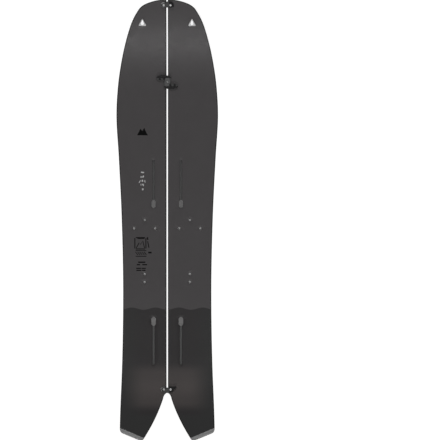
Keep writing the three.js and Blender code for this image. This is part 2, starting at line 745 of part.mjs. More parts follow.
// A group that stands on the top side at y, with its z axis square to the surface there.
function surfaceGroup(y) {
  const group = new THREE.Group();
  const slope = topside(y + 1) - topside(y - 1);
  group.position.set(0, y, topside(y));
  group.rotation.x = Math.atan2(slope, 2);
  group.updateMatrix();
  return group;
}

function clip(prefix, { y, x, flap }, thumb) {
  const group = surfaceGroup(y);
  const post = { radius: POST_RADIUS, low: POST_HEIGHT[0], high: POST_HEIGHT[1] };
  const latchSolid = moved(latch(2 * x, flap, thumb), [x, 0]);
  group.add(
    named(prefix + "_keeper_plate", clipPlate(-1, x), "grey"),
    named(prefix + "_keeper_post", fastener([-x, 0], post), "aluminium"),
    named(prefix + "_latch_plate", clipPlate(1, x), "black"),
    named(prefix + "_latch", latchSolid, "black"),
    named(prefix + "_latch_pivot", fastener([x, 0], PIVOT_HEAD), "aluminium"),
  );
  return group;
}

function hooks() {
  const group = surfaceGroup(HOOK_Y);
  const left = hook();
  group.add(named("hook_left", left, "black"), named("hook_right", turnedHalfWay(left), "black"));
  HOOK_RIVETS.forEach(([x, y], i) => {
    group.add(
      named("hook_rivet_left_" + (i + 1), fastener([x, y], RIVET_HEAD), "black"),
      named("hook_rivet_right_" + (i + 1), fastener([-x, -y], RIVET_HEAD), "black"),
    );
  });
  return group;
}

// The screw holes of the hardware, in the board's frame, on the side given by the sign.
function screwHoles(sign) {
  const placed = (y, centre) => {
    return toSolid(toGeometry(shankHole(centre)), surfaceGroup(y).matrix);
  };
  return [
    placed(NOSE_CLIP.y, [sign * NOSE_CLIP.x, 0]),
    placed(TAIL_CLIP.y, [sign * TAIL_CLIP.x, 0]),
    ...HOOK_RIVETS.map(([x, y]) => placed(HOOK_Y, [-sign * x, -sign * y])),
  ];
}

// Mirrors a solid across the centre line.
function mirrored(solid) {
  const geometry = toGeometry(solid).toNonIndexed();
  const mirror = new THREE.Matrix4().makeScale(-1, 1, 1);
  geometry.applyMatrix4(mirror);
  const position = geometry.getAttribute("position");
  const swapped = new Float32Array(position.array);
  for (let i = 0; i < swapped.length; i += 9) {
    swapped.set(position.array.subarray(i + 3, i + 6), i + 6);
    swapped.set(position.array.subarray(i + 6, i + 9), i + 3);
  }
  geometry.setAttribute("position", new THREE.BufferAttribute(swapped, 3));
  return toSolid(geometry);
}

function board() {
  const group = new THREE.Group();
  const leftHoles = screwHoles(-1).map(mirrored);
  for (const [name, [solid, colour]] of Object.entries(halfLayers(leftHoles))) {
    group.add(named(name + "_left", mirrored(solid), colour));
  }
  for (const [name, [solid, colour]] of Object.entries(halfLayers(screwHoles(1)))) {
    group.add(named(name + "_right", solid, colour));
  }
  group.add(clip("nose", NOSE_CLIP, noseThumb()), clip("tail", TAIL_CLIP, tailThumb()), hooks());
  return group;
}

export default board();
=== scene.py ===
"""Splitboard: the looks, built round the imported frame.

Plans and heights are in millimetres, as the board's drawings are, and every mesh is written in metres.
+Y points to the nose and +Z up. The origin is the middle of the footprint, on the ground.
"""

import math

import bpy
import numpy as np
from mathutils import Matrix, Vector
from mathutils.geometry import delaunay_2d_cdt


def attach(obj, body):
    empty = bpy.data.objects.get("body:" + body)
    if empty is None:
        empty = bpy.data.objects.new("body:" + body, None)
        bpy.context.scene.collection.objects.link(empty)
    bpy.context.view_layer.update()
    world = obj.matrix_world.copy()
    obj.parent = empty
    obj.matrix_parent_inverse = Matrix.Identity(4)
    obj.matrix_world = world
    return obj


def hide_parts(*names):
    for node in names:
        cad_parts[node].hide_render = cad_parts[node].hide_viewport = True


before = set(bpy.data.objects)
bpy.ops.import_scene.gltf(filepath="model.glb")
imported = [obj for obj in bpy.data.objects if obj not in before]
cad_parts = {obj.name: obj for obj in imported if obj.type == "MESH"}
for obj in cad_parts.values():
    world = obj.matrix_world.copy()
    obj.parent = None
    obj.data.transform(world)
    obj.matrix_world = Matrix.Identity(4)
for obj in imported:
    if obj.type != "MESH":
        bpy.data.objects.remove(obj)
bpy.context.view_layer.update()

MM = 0.001

# ---- Driving dimensions, in millimetres ----

NOSE_Y = 740
TAIL_Y = -740
HALF_GAP = 2.4  # from the centre line to each half's inner edge

# Half width of the board at distances from the nose tip.
HALF_WIDTHS = [
    (0, 0), (5.4, 42), (18.8, 78.5), (27.5, 90), (42, 100.5), (69, 115.4), (123, 134.1), (203, 152.7),
    (284, 164.6), (391, 170.2), (525, 162.5), (740, 152.3), (985, 147.7), (1240, 151.9), (1390, 157.8),
    (1437, 159),
]
FLANK_STEPS = 150
FLANK_CROWDING = 2.3  # above 1 crowds the outline's points towards the nose
FLANK_START = 8  # the outline runs straight from the nose tip to about this half width
CORNER_CONTROL = (158.8, -709.9)
CORNER_END = (147, -714.2)
TAIL_TIP = (84.5, TAIL_Y)
NOTCH_FOOT = (14, -597)
NOTCH_FLARE = (0.322, 0.0012)
NOTCH_ARCH_CONTROL = (12.2, -583.5)
NOTCH_APEX = (HALF_GAP, -578)
CURVE_STEPS = 14
LONGEST_STEP = 10  # between the points of a long straight side, so that it can bend

# Side profile.
NOSE_CONTACT = (395, 425)
TAIL_CONTACT = (-540, -510)
PLATFORM = (-225, 35)
CAMBER = 4
NOSE_RISE = 52
NOSE_RISE_POWER = 2.2
TAIL_RISE = 16
THICKNESS = 10
THICKNESSES = [(TAIL_Y, 6.5), (-455, THICKNESS), (335, THICKNESS), (NOSE_Y, 6.2)]

# Layers, above the underside or below the top side.
GLUE = 0.05
BASE_TOP = 1.3
EDGE_FLANGE_LOW = 1.4
EDGE_TOP = 1.95
LOWER_LAMINATE = (2.0, 2.6)
CORE_LOW = 2.65
CORE_DOWN = 1.3
UPPER_LAMINATE_DOWN = (1.25, 0.65)
TOPSHEET_DOWN = 0.6
EDGE_WIDTH = 2.2
EDGE_FLANGE_WIDTH = 5.5
BASE_INSET = EDGE_WIDTH + GLUE
OUTER_SIDEWALL = 8
INNER_SIDEWALL = 4.6
LAMINATE_INSET = 0.3
RIM_GAP = 0.1
GUARD_TOP_WIDTH = 13.5
GUARD_WIDTH = 7
RIM_SIDEWALL_AND_SHADE_WIDTH = 3  # dark line painted round the top sheet: partly the black sidewall's own colour, partly painted shade on its bevel

# Radii of the rounded rims.
TOPSHEET_ROUND = 0.35
EDGE_ROUND = 0.2
GUARD_ROUNDS = (0.4, 0.5)  # below and on top
GROMMET_ROUND = 0.5

WAVE_Y = -295
WAVE_HEIGHT = 3.7
WAVE_PERIOD = 79
WAVE_REACH = 180  # more than the half width
WAVE_STEPS = 90
GUARD_REACH = 120  # of the lines ahead of the tail guard, from the tail tip

# Rounded triangles and the pear at the tip hole: each goes round circles at these places from the
# hole's centre, with these radii.
TIP_HOLE = (83, 660)
TIP_OPENING = [(0, 11, 1.9), (-5.6, -3.8, 3), (5.6, -3.8, 3)]
GROMMET_FLANGE = [(0, 13, 1.8), (-9.35, -5.4, 2.8), (9.35, -5.4, 2.8)]
PEAR = [(0, 11, 0.7), (0, -0.6, 4.9)]
GROMMET_SLEEVE = (-0.3, -1.1)  # outside and inside, against the opening
SLEEVE_FOOT = 0.4
GROMMET_HEIGHT = (0.1, 1.3)

CHANNEL_X = 45.8
# For each channel: slot's far end, pocket's near and far end, slot's and pocket's width.
CHANNELS = {
    "front_channel": (203, 69, 42, 6.8, 15),
    "rear_channel": (-482.9, -352.7, -323.6, 6.8, 16),
}
CHANNEL_BORDER = 4
CHANNEL_FLOOR = 3.6
CAVITY_FLOOR = 4.5
CAVITY_WIDTH = 11.6
LIPS_DOWN = 2.8
CHANNEL_DOWN = 1.35

INSERTS = {
    "toe_insert_1": (75.8, 2.1),
    "toe_insert_2": (40.2, -26.1),
    "toe_insert_3": (111.4, -26.1),
    "heel_insert_1": (75.8, -179),
    "heel_insert_2": (75.8, -205.8),
}
INSERT_RADIUS = 3.6
INSERT_BORE = 2.6
INSERT_FLANGE = 8
INSERT_FLANGE_HEIGHT = 1.2
INSERT_CLEARANCE = 0.2
INSERT_TOP_DOWN = 0.15
INSERT_FLOOR = 0.6  # metal under the bore, above the flange
INSERT_CHAMFER = 0.25
INSERT_MOUTH = 0.35  # how much wider the bore is at its mouth
INSERT_LEAD = 0.7  # plain stretch above the thread
THREAD_PITCH = 1.0
THREAD_DEPTH = 0.3

# Hardware across the seam. Heights are above the top side. A seat is the stretch it stands on.
NOSE_CLIP = (11, 721.7)
NOSE_SEAT = (706, 741)
TAIL_CLIP = (11.2, -565.7)
TAIL_SEAT = (-590, -545)
SHANK_RADIUS = 2.5
SHANK_HOLE = 2.8
SHANK_LOW = -1.2
PLATE_RADIUS = 10.4
PLATE_HEIGHTS = (0.02, 1.8)
PLATE_SINK = 0.4  # how far the face lies below the rim
RIM_WIDTH = 2.2
HIGHLIGHT_BEYOND = 1  # how far a stretch painted as a highlight reaches past both sides of the rim
# Stretches of the rims painted lighter as a highlight where the light catches them, in degrees.
NOSE_RIM_HIGHLIGHT = (85, 160)
TAIL_RIM_HIGHLIGHT = (125, 235)
LATCH_PLATE_RIM_STRETCH = (-60, 60)  # the same stretch on the latch plate, black like the rest of that plate, so nothing lighter is painted there
SEAM_X = HALF_GAP + 0.5  # how near plates and hooks come to the centre line
CHAMFER = 0.2  # round the undersides of plates and latches
POST_RADIUS = 3.7
POST_ROOM = 4.4  # radius of the room that the latch leaves for the post
SLIDE_ROOM = 20  # how far the straight way out of the jaw is kept open
PIVOT_HEAD = (3.9, 5.3, 6.6)  # radius, underside and top
PIVOT_SOCKET = 1.5
HEAD_DOME = 0.45  # the domed part of a head's height
LATCH_HEIGHTS = (2.1, 5.1)
LATCH_DISC = 9.2  # radius round the pivot
LATCH_SHOULDER = 6.2
LATCH_WORN_X = 4.5
LATCH_ROUND = 0.6
LUG_ROUND = 0.5
JAW_RADIUS = 8
# Outlines on the latches, from the pivot.
NOSE_FLAP = np.array([(0, 8.8), (-7, 12.3), (-12.3, 12.1), (-15.6, 7.4), (-15.6, 0), (0, 0)])
TAIL_FLAP = np.array([(0, 0), (-15.6, 0), (-15.6, -7.4), (-13.4, -11.9), (-8, -12), (0, -8.8)])
NOSE_LUG = np.array([(6, -7), (11.6, -6), (11.6, -0.5), (8, 3)], float)
NOSE_LUG_RAISE = 1.2
TAIL_ARM = np.array([(5, -3), (13, 1), (17, 8), (12.5, 9), (4, 6)], float)
TAIL_LUG = np.array([(11.9, 2.3), (15.4, -0.6), (19.6, 7.6), (16.4, 10.8)], float)
TAIL_LUG_RAISE = 1.6
HOOK_Y = 464.2
HOOK_SEAT = (436, 492)
HOOK_RIVETS = [(-24.8, 9.9), (-10.2, 10.6)]
RIVET_HEAD = (3.8, 4.4, 5.8)  # as for the pivot
HOOK_HEIGHTS = (0.05, 4.3)
HOOK_RIDGE_TOP = 5.6
HOOK_ROUND = 0.5
CLAW_LOW = 1.5  # underside of the claw, past the seam
HOOK_BARE = (8.8, 14.4)  # half sizes of the oval where the hooks meet
# Lines of the left hook, from the place where the hooks meet.
HOOK_CREST = [(-37, 15.5), (-30, 20.5), (-19, 23.2), (-7, 23.6), (4, 21.4), (12.7, 16.2)]
HOOK_CLAW = [(13.2, 8), (11.5, 0.5), (8, -4.6), (4.9, -4.65)]
HOOK_FOOT = [(-4.7, 4.95), (-29, 5.1), (-34.5, 9)]
HOOK_RIDGE = [(4, 17.2), (-8, 18.6), (-20, 18), (-30, 16.4)]
HOOK_BAND = [(-40, 11.5), (-34, 13.6), (14, 14.4), (16, 30), (-40, 30)]
CUT_REACH = 30  # half length of the lines that cut plates, latches and hooks along the seam

# Cutting of the plans into triangles.
BOARD_GRID = (15, 10)  # spacing along X and Y of the points inside a layer
GRID_CLEARANCE = 3.2  # from those points to the nearest line
NEARNESS = 0.005  # below this distance points count as one
SMALLEST_AREA = 1e-7  # double the area of the smallest triangle that is kept
SHARP_ANGLE = 38  # in degrees; edges below it are shaded smooth

# Patterns of the materials, in metres.
TAIL_PAINTED_SHEEN_BAND = (-0.66, -0.46)  # the band painted lighter across the tail's print as a painted sheen, along Y
TAIL_PAINTED_SHEEN_FADE = (0.07, 0.155)  # where that painted sheen fades, along X
CORE_STRIP = 0.016  # width of the strips of wood

# ---- Studio, in metres ----

FLOOR_SIZE = 150
FLOOR_PAINT = (0.25, 0.25, 0.25)
FLOOR_GLOW = 0.88
WORLD_LIGHT = 0.36
BACKDROP = 1.0
# Tilt in degrees from straight above towards +Y, strength, and spread in degrees.
SUNS = {"tail_key": (-64, 1.25, 6), "nose_key": (52, 1.05, 6), "sheen": (-17, 0.22, 5)}
FRAME_WIDTH = 1.4758  # across the picture, at the height of the board
FRAME_CENTRE = (0.1768, 0.0021)
LENS = 400
SENSOR = 36
CLIP_END = 100


# ---- Plan geometry ----

def circle(centre, radius, steps=40):
    turns = np.arange(steps) * 2 * math.pi / steps
    return np.array(centre) + radius * np.column_stack([np.cos(turns), np.sin(turns)])


def arc(centre, radius, start, end, steps=14):
    """Points from one angle in degrees to another."""
    turns = np.radians(np.linspace(start, end, steps + 1))
    return np.array(centre) + radius * np.column_stack([np.cos(turns), np.sin(turns)])


def bezier(start, control, end, steps=CURVE_STEPS):
    t = np.linspace(0, 1, steps + 1)[:, None]
    return (1 - t) ** 2 * np.array(start) + 2 * t * (1 - t) * np.array(control) + t * t * np.array(end)


def smooth_path(points, steps=8):
    """A Catmull-Rom curve through the points."""
    p = np.array([points[0], *points, points[-1]], float)
    t = np.linspace(0, 1, steps, endpoint=False)[:, None]
    parts = []
    for a, b, c, d in zip(p, p[1:], p[2:], p[3:]):
        bend = (2 * a - 5 * b + 4 * c - d) * t ** 2 + (3 * b - a - 3 * c + d) * t ** 3
        parts.append(0.5 * (2 * b + (c - a) * t + bend))
    return np.vstack([*parts, p[-1:]])


def subdivided(points, closed=True, longest=LONGEST_STEP):
    """The same line with more points where its stretches are long."""
    starts = np.array(points, float)
    ends = np.roll(starts, -1, axis=0) if closed else starts[1:]
    result = []
    for a, b in zip(starts, ends):
        pieces = max(1, math.ceil(np.linalg.norm(b - a) / longest))
        result += [a + (b - a) * k / pieces for k in range(pieces)]
    return np.array(result if closed else [*result, starts[-1]])


def inside(points, loop):
    """Which of the points lie in the closed loop."""
    x, y = points[:, :1], points[:, 1:2]
    a, b = loop, np.roll(loop, -1, axis=0)
    crosses = (a[:, 1] > y) != (b[:, 1] > y)
    with np.errstate(divide="ignore", invalid="ignore"):
        at = a[:, 0] + (y - a[:, 1]) * (b[:, 0] - a[:, 0]) / (b[:, 1] - a[:, 1])
    return (np.sum(crosses & (x < at), axis=1) % 2).astype(bool)


def far_from(points, loops, distance):
    """Which of the points are further than the distance from every stretch of the loops."""
    keep = np.ones(len(points), bool)
    for loop in loops:
        a, b = loop, np.roll(loop, -1, axis=0)
        d = b - a
        length = np.maximum(np.sum(d * d, axis=1), 1e-9)
        along = np.clip(np.einsum("ijk,jk->ij", points[:, None] - a, d) / length, 0, 1)
        gap = points[:, None] - (a + along[..., None] * d)
        keep &= np.min(np.sum(gap * gap, axis=2), axis=1) > distance ** 2
    return keep


# ---- Side profile ----

def smooth_step(t):
    t = np.clip(t, 0, 1)
    return t * t * (3 - 2 * t)


def underside(y):
    nose = np.clip((y - NOSE_CONTACT[1]) / (NOSE_Y - NOSE_CONTACT[1]), 0, None)
    tail = np.clip((TAIL_CONTACT[0] - y) / (TAIL_CONTACT[0] - TAIL_Y), 0, None)
    front = smooth_step((NOSE_CONTACT[0] - y) / (NOSE_CONTACT[0] - PLATFORM[1]))
    rear = smooth_step((y - TAIL_CONTACT[1]) / (PLATFORM[0] - TAIL_CONTACT[1]))
    return NOSE_RISE * nose ** NOSE_RISE_POWER + TAIL_RISE * tail ** 2 + CAMBER * np.minimum(front, rear)


def topside(y):
    places, values = zip(*THICKNESSES)
    return underside(y) + np.interp(y, places, values)


def above(distance):
    return lambda xy: underside(xy[:, 1]) + distance


def below(distance):
    return lambda xy: topside(xy[:, 1]) - distance


def level(height):
    return lambda xy: np.full(len(xy), float(height))


# ---- Outline of the right half ----

def half_width(distance):
    """Half width at a distance from the nose tip, smooth in the square root of the distance."""
    distances, widths = np.array(HALF_WIDTHS).T
    places = np.sqrt(distances)
    spans = np.diff(places)
    slopes = np.diff(widths) / spans
    middle = (slopes[:-1] * spans[1:] + slopes[1:] * spans[:-1]) / (spans[:-1] + spans[1:])
    tangents = [slopes[0], *middle, slopes[-1]]
    q = math.sqrt(distance)
    i = max(0, np.searchsorted(places, q) - 1)
    t = (q - places[i]) / spans[i]
    ease = t * t * (3 - 2 * t)
    start = widths[i] * (1 - ease) + widths[i + 1] * ease
    return start + spans[i] * (tangents[i] * t * (1 - t) ** 2 - tangents[i + 1] * t * t * (1 - t))


def half_outline():
    """The three sides of the right half, clockwise from the nose. Each ends where the next begins."""
    corner = HALF_WIDTHS[-1][0]
    distances = [corner * (k / FLANK_STEPS) ** FLANK_CROWDING for k in range(1, FLANK_STEPS + 1)]
    flank = [(half_width(s), NOSE_Y - s) for s in distances]
    flank = [point for point in flank if point[0] > FLANK_START]
    drops = (NOTCH_FOOT[1] - TAIL_Y) * np.linspace(1, 0, CURVE_STEPS + 1)
    notch = [(NOTCH_FOOT[0] + NOTCH_FLARE[0] * d + NOTCH_FLARE[1] * d * d, NOTCH_FOOT[1] - d) for d in drops]
    arch = bezier(NOTCH_FOOT, NOTCH_ARCH_CONTROL, NOTCH_APEX)
    outer = [(HALF_GAP, NOSE_Y), *flank, *bezier(flank[-1], CORNER_CONTROL, CORNER_END)[1:]]
    inner = [TAIL_TIP, *notch[1:-1], *arch]
    return {
        "outer": subdivided(outer, closed=False),
        "tail": np.array([CORNER_END, TAIL_TIP]),
        "inner": subdivided([*inner, (HALF_GAP, NOSE_Y)], closed=False),
    }


OUTLINE = half_outline()
TRAILING_WAY = np.subtract(CORNER_END, TAIL_TIP) / math.dist(CORNER_END, TAIL_TIP)


def inset_sides(outer, inner):
    """The three sides of the outline moved inwards, meeting at their corners.
    The tail moves as far as the outer side."""
    points = np.vstack([line[:-1] for line in OUTLINE.values()])
    counts = [len(line) - 1 for line in OUTLINE.values()]
    distance = np.repeat([outer, outer, inner], counts).astype(float)
    after = np.roll(points, -1, axis=0) - points
    after /= np.linalg.norm(after, axis=1)[:, None]
    before = np.roll(after, 1, axis=0)
    move_after = distance[:, None] * np.column_stack([after[:, 1], -after[:, 0]])
    move_before = np.roll(distance, 1)[:, None] * np.column_stack([before[:, 1], -before[:, 0]])
    turn = before[:, 0] * after[:, 1] - before[:, 1] * after[:, 0]
    step = move_after - move_before
    straight = np.abs(turn) < 1e-3
    along = (step[:, 0] * after[:, 1] - step[:, 1] * after[:, 0]) / np.where(straight, 1, turn)
    moved = points + move_before + np.where(straight, 0, along)[:, None] * before
    starts = np.cumsum([0, *counts])
    ring = np.vstack([moved, moved[:1]])
    return {name: ring[a:b + 1] for name, a, b in zip(OUTLINE, starts, starts[1:])}


def inset_outline(outer, inner):
    return np.vstack([line[:-1] for line in inset_sides(outer, inner).values()])


def beyond_trailing_edge(points):
    """Signed distance of points beyond the trailing edge."""
    return (points - np.array(TAIL_TIP)) @ (TRAILING_WAY[1], -TRAILING_WAY[0])


def wave_y(x):
    return WAVE_Y - WAVE_HEIGHT * np.cos(2 * math.pi * x / WAVE_PERIOD)


def keyhole(spec, extra=0):
    """Outline of a channel's slot and pocket together."""
    slot_end, pocket_near, pocket_far, width, pocket_width = spec
    narrow = width / 2
    wide = pocket_width / 2
    ahead = 1 if slot_end > pocket_near else -1
    back = pocket_far + ahead * wide
    meeting = 90 - math.degrees(math.asin((narrow + extra) / (wide + extra)))
    right = np.vstack([
        arc((0, abs(slot_end - back) - narrow), narrow + extra, 90, 0),
        arc((0, abs(pocket_near - back) - wide), wide + extra, meeting, 0),
        arc((0, 0), wide + extra, 0, -90),
    ])
    left = right[::-1][1:-1] * (-1, 1)
    return subdivided(np.vstack([right, left]) * (1, ahead) + (CHANNEL_X, back))


def stadium(x, front, rear, width):
    r = width / 2
    return subdivided(np.vstack([arc((x, front - r), r, 0, 180), arc((x, rear + r), r, 180, 360)]))


def hull(points):
    """Convex outline round the points, anticlockwise."""
    def chain(order):
        result = []
        for p in order:
            while len(result) > 1:
                (ax, ay), (bx, by) = result[-2], result[-1]
                if (bx - ax) * (p[1] - ay) - (by - ay) * (p[0] - ax) > 0:
                    break
                result.pop()
            result.append(p)
        return result[:-1]
    order = sorted(map(tuple, points))
    return np.array(chain(order) + chain(order[::-1]))


def round_circles(circles, extra=0):
    """Convex outline round circles that are given from the tip hole's centre."""
    x, y = TIP_HOLE
    return hull(np.vstack([circle((x + dx, y + dy), radius + extra) for dx, dy, radius in circles]))


def guard_line(width):
    """A line across the tail, parallel to the trailing edge and ahead of it."""
    d = TRAILING_WAY
    start = np.array(TAIL_TIP) + width * np.array([-d[1], d[0]])
    return np.array([start - GUARD_REACH * d, start + GUARD_REACH * d])


def cut_line(x):
    """A straight line along the seam, for plates, latches and hooks."""
    return np.array([(x, -CUT_REACH), (x, CUT_REACH)])


def stroke(points, width):
    """Outline of a drawn line of even width with square ends."""
    p = np.array(points, float)
    d = np.gradient(p, axis=0)
    d /= np.linalg.norm(d, axis=1)[:, None]
    side = np.column_stack([-d[:, 1], d[:, 0]]) * width / 2
    return np.vstack([p + side, (p - side)[::-1]])


# ---- Plans cut into triangles, and solids raised on them ----

def plan(loops, zone, lines=(), grid=None):
    """The plan cut along closed loops and open lines. zone gives each triangle's zone, or -1 outside.
    grid is the spacing along X and Y of the points in between, where the piece has to bend."""
    points, edges = [], []
    for shape, closed in [*((loop, True) for loop in loops), *((line, False) for line in lines)]:
        first, count = len(points), len(shape)
        points += [tuple(p) for p in shape]
        edges += [(first + k, first + k + 1) for k in range(count - 1)]
        if closed:
            edges.append((first + count - 1, first))
    if grid:
        corners = np.vstack(loops)
        spans = [np.arange(lo + step / 2, hi, step) for lo, hi, step in
                 zip(corners.min(axis=0), corners.max(axis=0), grid)]
        lattice = np.stack(np.meshgrid(*spans), axis=-1).reshape(-1, 2)
        lattice = lattice[zone(lattice) >= 0]
        points += [tuple(p) for p in lattice[far_from(lattice, [*loops, *lines], GRID_CLEARANCE)]]
    made = delaunay_2d_cdt([Vector(p) for p in points], edges, [], 0, NEARNESS)
    flat = np.array([tuple(v) for v in made[0]])
    triangles = np.array(made[2])
    a, b, c = (flat[triangles[:, k]] for k in range(3))
    area = (b[:, 0] - a[:, 0]) * (c[:, 1] - a[:, 1]) - (b[:, 1] - a[:, 1]) * (c[:, 0] - a[:, 0])
    triangles[area < 0] = triangles[area < 0][:, ::-1]
    zones = zone((a + b + c) / 3)
    keep = (zones >= 0) & (np.abs(area) > SMALLEST_AREA)
    return flat, triangles[keep], zones[keep]


def rim_normals(points, triangles):
    """For each point on the rim of these triangles, the way out, long enough to keep an even margin."""
    directed = {(t[k], t[(k + 1) % 3]) for t in triangles.tolist() for k in range(3)}
    total = np.zeros((len(points), 2))
    count = np.zeros(len(points))
    for a, b in directed:
        if (b, a) not in directed:
            d = points[b] - points[a]
            out = np.array([d[1], -d[0]]) / np.linalg.norm(d)
            for k in (a, b):
                total[k] += out
                count[k] += 1
    size = np.sum(total * total, axis=1)
    return np.where((size > 0.5)[:, None], total * count[:, None] / np.maximum(size, 0.5)[:, None], 0)


def layer(cut, low, high):
    """A plain layer between two surfaces."""
    return raised(cut, [(low, 0), (high, 0)], {0: [(0, 1)]})


def down_from(height):
    """Levels by their distance below a height, for rounded."""
    return lambda distance: level(height - distance)


def rounded(surface, radius, up=True, turns=(0, 30, 60, 90)):
    """Levels of a rounded rim. surface(d) is the height at the distance d inside the rounded face."""
    rim = [(surface(radius * (1 - math.sin(math.radians(a)))), -radius * (1 - math.cos(math.radians(a))))
           for a in turns]
    return rim if up else rim[::-1]


def raised(cut, levels, solids, paint=None, side_paint=0, under=None):
    """Vertices, faces and material numbers of a closed solid on a cut plan.
    A level is a height and how far the rim moves out there. solids gives each zone's stretches between
    levels. paint and under give the zones' material numbers on top and underneath, where they aren't 0."""
    points, triangles, zones = cut
    paint = paint or {}
    under = under or {}
    count = len(points)
    cells = {zone: {k for low, high in solids[zone] for k in range(low, high)} for zone in solids}
    layers = []
    for k, (height, outset) in enumerate(levels):
        cell = max(k - 1, 0)
        here = [zone for zone in solids if cell in cells[zone]]
        flat = points + outset * rim_normals(points, triangles[np.isin(zones, here)]) if outset else points
        layers.append(np.column_stack([flat, height(flat)]))
    faces, paints, owner = [], [], {}
    for triangle, zone in zip(triangles.tolist(), zones.tolist()):
        for low, high in solids[zone]:
            faces.append([v + high * count for v in triangle])
            faces.append([v + low * count for v in triangle[::-1]])
            paints += [paint.get(zone, 0), under.get(zone, 0)]
        for k in range(3):
            owner[triangle[k], triangle[(k + 1) % 3]] = zone
    for (a, b), zone in owner.items():
        for k in cells[zone] - cells.get(owner.get((b, a)), set()):
            faces.append([a + k * count, b + k * count, b + (k + 1) * count, a + (k + 1) * count])
            paints.append(side_paint)
    return np.vstack(layers), faces, paints


def lathe(profile, steps=40):
    """A turned solid about Z: the profile runs from the axis to the axis, upwards on the outside."""
    turns = np.arange(steps) * 2 * math.pi / steps
    points, rings = [], []
    for r, z in profile:
        count = steps if r > 0 else 1
        rings.append([len(points) + k % count for k in range(steps)])
        points += [(r * math.cos(t), r * math.sin(t), z) for t in turns[:count]]
    faces = []
    for low, high in zip(rings, rings[1:]):
        for k in range(steps):
            after = (k + 1) % steps
            face = list(dict.fromkeys([low[k], low[after], high[after], high[k]]))
            if len(face) > 2:
                faces.append(face)
    return np.array(points, float), faces, [0] * len(faces)


def placed(name, data):
    """A new object in the scene."""
    obj = bpy.data.objects.new(name, data)
    bpy.context.scene.collection.objects.link(obj)
    return obj


def piece(node_name, solid, materials, body, matrix=None, mirrored=False):
    """Makes the finished piece that stands for a CAD node, and lets it ride on its body."""
    points, faces, paints = solid
    used = np.unique(np.concatenate([np.array(f) for f in faces]))
    place = np.full(len(points), -1)
    place[used] = np.arange(len(used))
    points = points[used] * MM
    if mirrored:
        points = points * (-1, 1, 1)
        faces = [f[::-1] for f in faces]
    mesh = bpy.data.meshes.new(node_name + "_finished")
    mesh.from_pydata(points.tolist(), [], [[int(place[v]) for v in f] for f in faces])
    if matrix:
        mesh.transform(matrix)
    for material in materials:
        mesh.materials.append(material)
    mesh.polygons.foreach_set("material_index", paints)
    mesh.shade_smooth()
    mesh.set_sharp_from_angle(angle=math.radians(SHARP_ANGLE))
    obj = placed(node_name + "_finished", mesh)
    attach(obj, body)
    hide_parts(node_name)


# ---- Materials ----

def feed(socket, value):
    """Gives the socket a link, or else a value of its own."""
    if isinstance(value, bpy.types.NodeSocket):
        socket.id_data.links.new(value, socket)
    else:
        socket.default_value = (*value, 1) if socket.type == "RGBA" else value


def node(tree, kind, inputs, output, **settings):
    """A new node with these inputs and settings. Returns one of its outputs."""
    made = tree.nodes.new("ShaderNode" + kind)
    for name, value in settings.items():
        setattr(made, name, value)
    for name, value in inputs.items():
        feed(made.inputs[name], value)
    return made.outputs[output]


def new_material(name, color, roughness, metallic=0, specular=0.5):
    """A material, with the inputs of its shader and object coordinates in metres."""
    material = bpy.data.materials.new(name)
    material.use_nodes = True
    tree = material.node_tree
    shader = tree.nodes["Principled BSDF"].inputs
    feed(shader["Base Color"], color)
    feed(shader["Roughness"], roughness)
    feed(shader["Metallic"], metallic)
    feed(shader["Specular IOR Level"], specular)
    return material, shader, node(tree, "TexCoord", {}, "Object")


def stretched(place, scale, turn=0):
    """The place scaled along each axis and turned in degrees, so that a pattern runs along one way."""
    turned = (0, 0, math.radians(turn))
    return node(place.id_data, "Mapping", {"Vector": place, "Scale": scale, "Rotation": turned}, "Vector")


def noise(place, scale, detail=4, roughness=0.55):
    inputs = {"Vector": place, "Scale": scale, "Detail": detail, "Roughness": roughness}
    return node(place.id_data, "TexNoise", inputs, "Fac")


def ramp(factor, stops, interpolation="LINEAR"):
    """Colours along a factor: stops are (position, colour)."""
    made = factor.id_data.nodes.new("ShaderNodeValToRGB")
    made.color_ramp.interpolation = interpolation
    elements = made.color_ramp.elements
    while len(elements) < len(stops):
        elements.new(0.5)
    for element, (position, color) in zip(elements, stops):
        element.position = position
        element.color = (*color, 1)
    feed(made.inputs["Fac"], factor)
    return made.outputs["Color"]


def ranged(value, start, end, results=(0, 1), interpolation="LINEAR"):
    """The value, taken from between start and end to between the results."""
    inputs = {"Value": value, "From Min": start, "From Max": end, "To Min": results[0], "To Max": results[1]}
    return node(value.id_data, "MapRange", inputs, "Result", interpolation_type=interpolation)


def mixed(factor, first, second, blend="MIX"):
    made = first.id_data.nodes.new("ShaderNodeMix")
    made.data_type = "RGBA"
    made.blend_type = blend
    sockets = {socket.name: socket for socket in made.inputs if socket.enabled}
    for name, value in (("Factor", factor), ("A", first), ("B", second)):
        feed(sockets[name], value)
    return next(socket for socket in made.outputs if socket.enabled)


def calculated(operation, first, second=0.0):
    return node(first.id_data, "Math", {0: first, 1: second}, "Value", operation=operation)


def bumped(shader, height, distance, strength):
    inputs = {"Height": height, "Distance": distance, "Strength": strength}
    feed(shader["Normal"], node(height.id_data, "Bump", inputs, "Normal"))


def grey(value):
    """Linear colour of an 8-bit grey."""
    return (((value / 255 + 0.055) / 1.055) ** 2.4,) * 3


def tinted(red, green, blue):
    return tuple(grey(v)[0] for v in (red, green, blue))


def toned(shader, pattern, color, spread, ends=(0.3, 0.7), more=()):
    """Colour that gets darker and lighter with the pattern, by a part of itself."""
    shades = [tuple(c * (1 + side * spread) for c in color) for side in (-1, 1)]
    feed(shader["Base Color"], ramp(pattern, [*zip(ends, shades), *more]))


def roughened(shader, pattern, low, high):
    feed(shader["Roughness"], ranged(pattern, 0.3, 0.7, (low, high)))


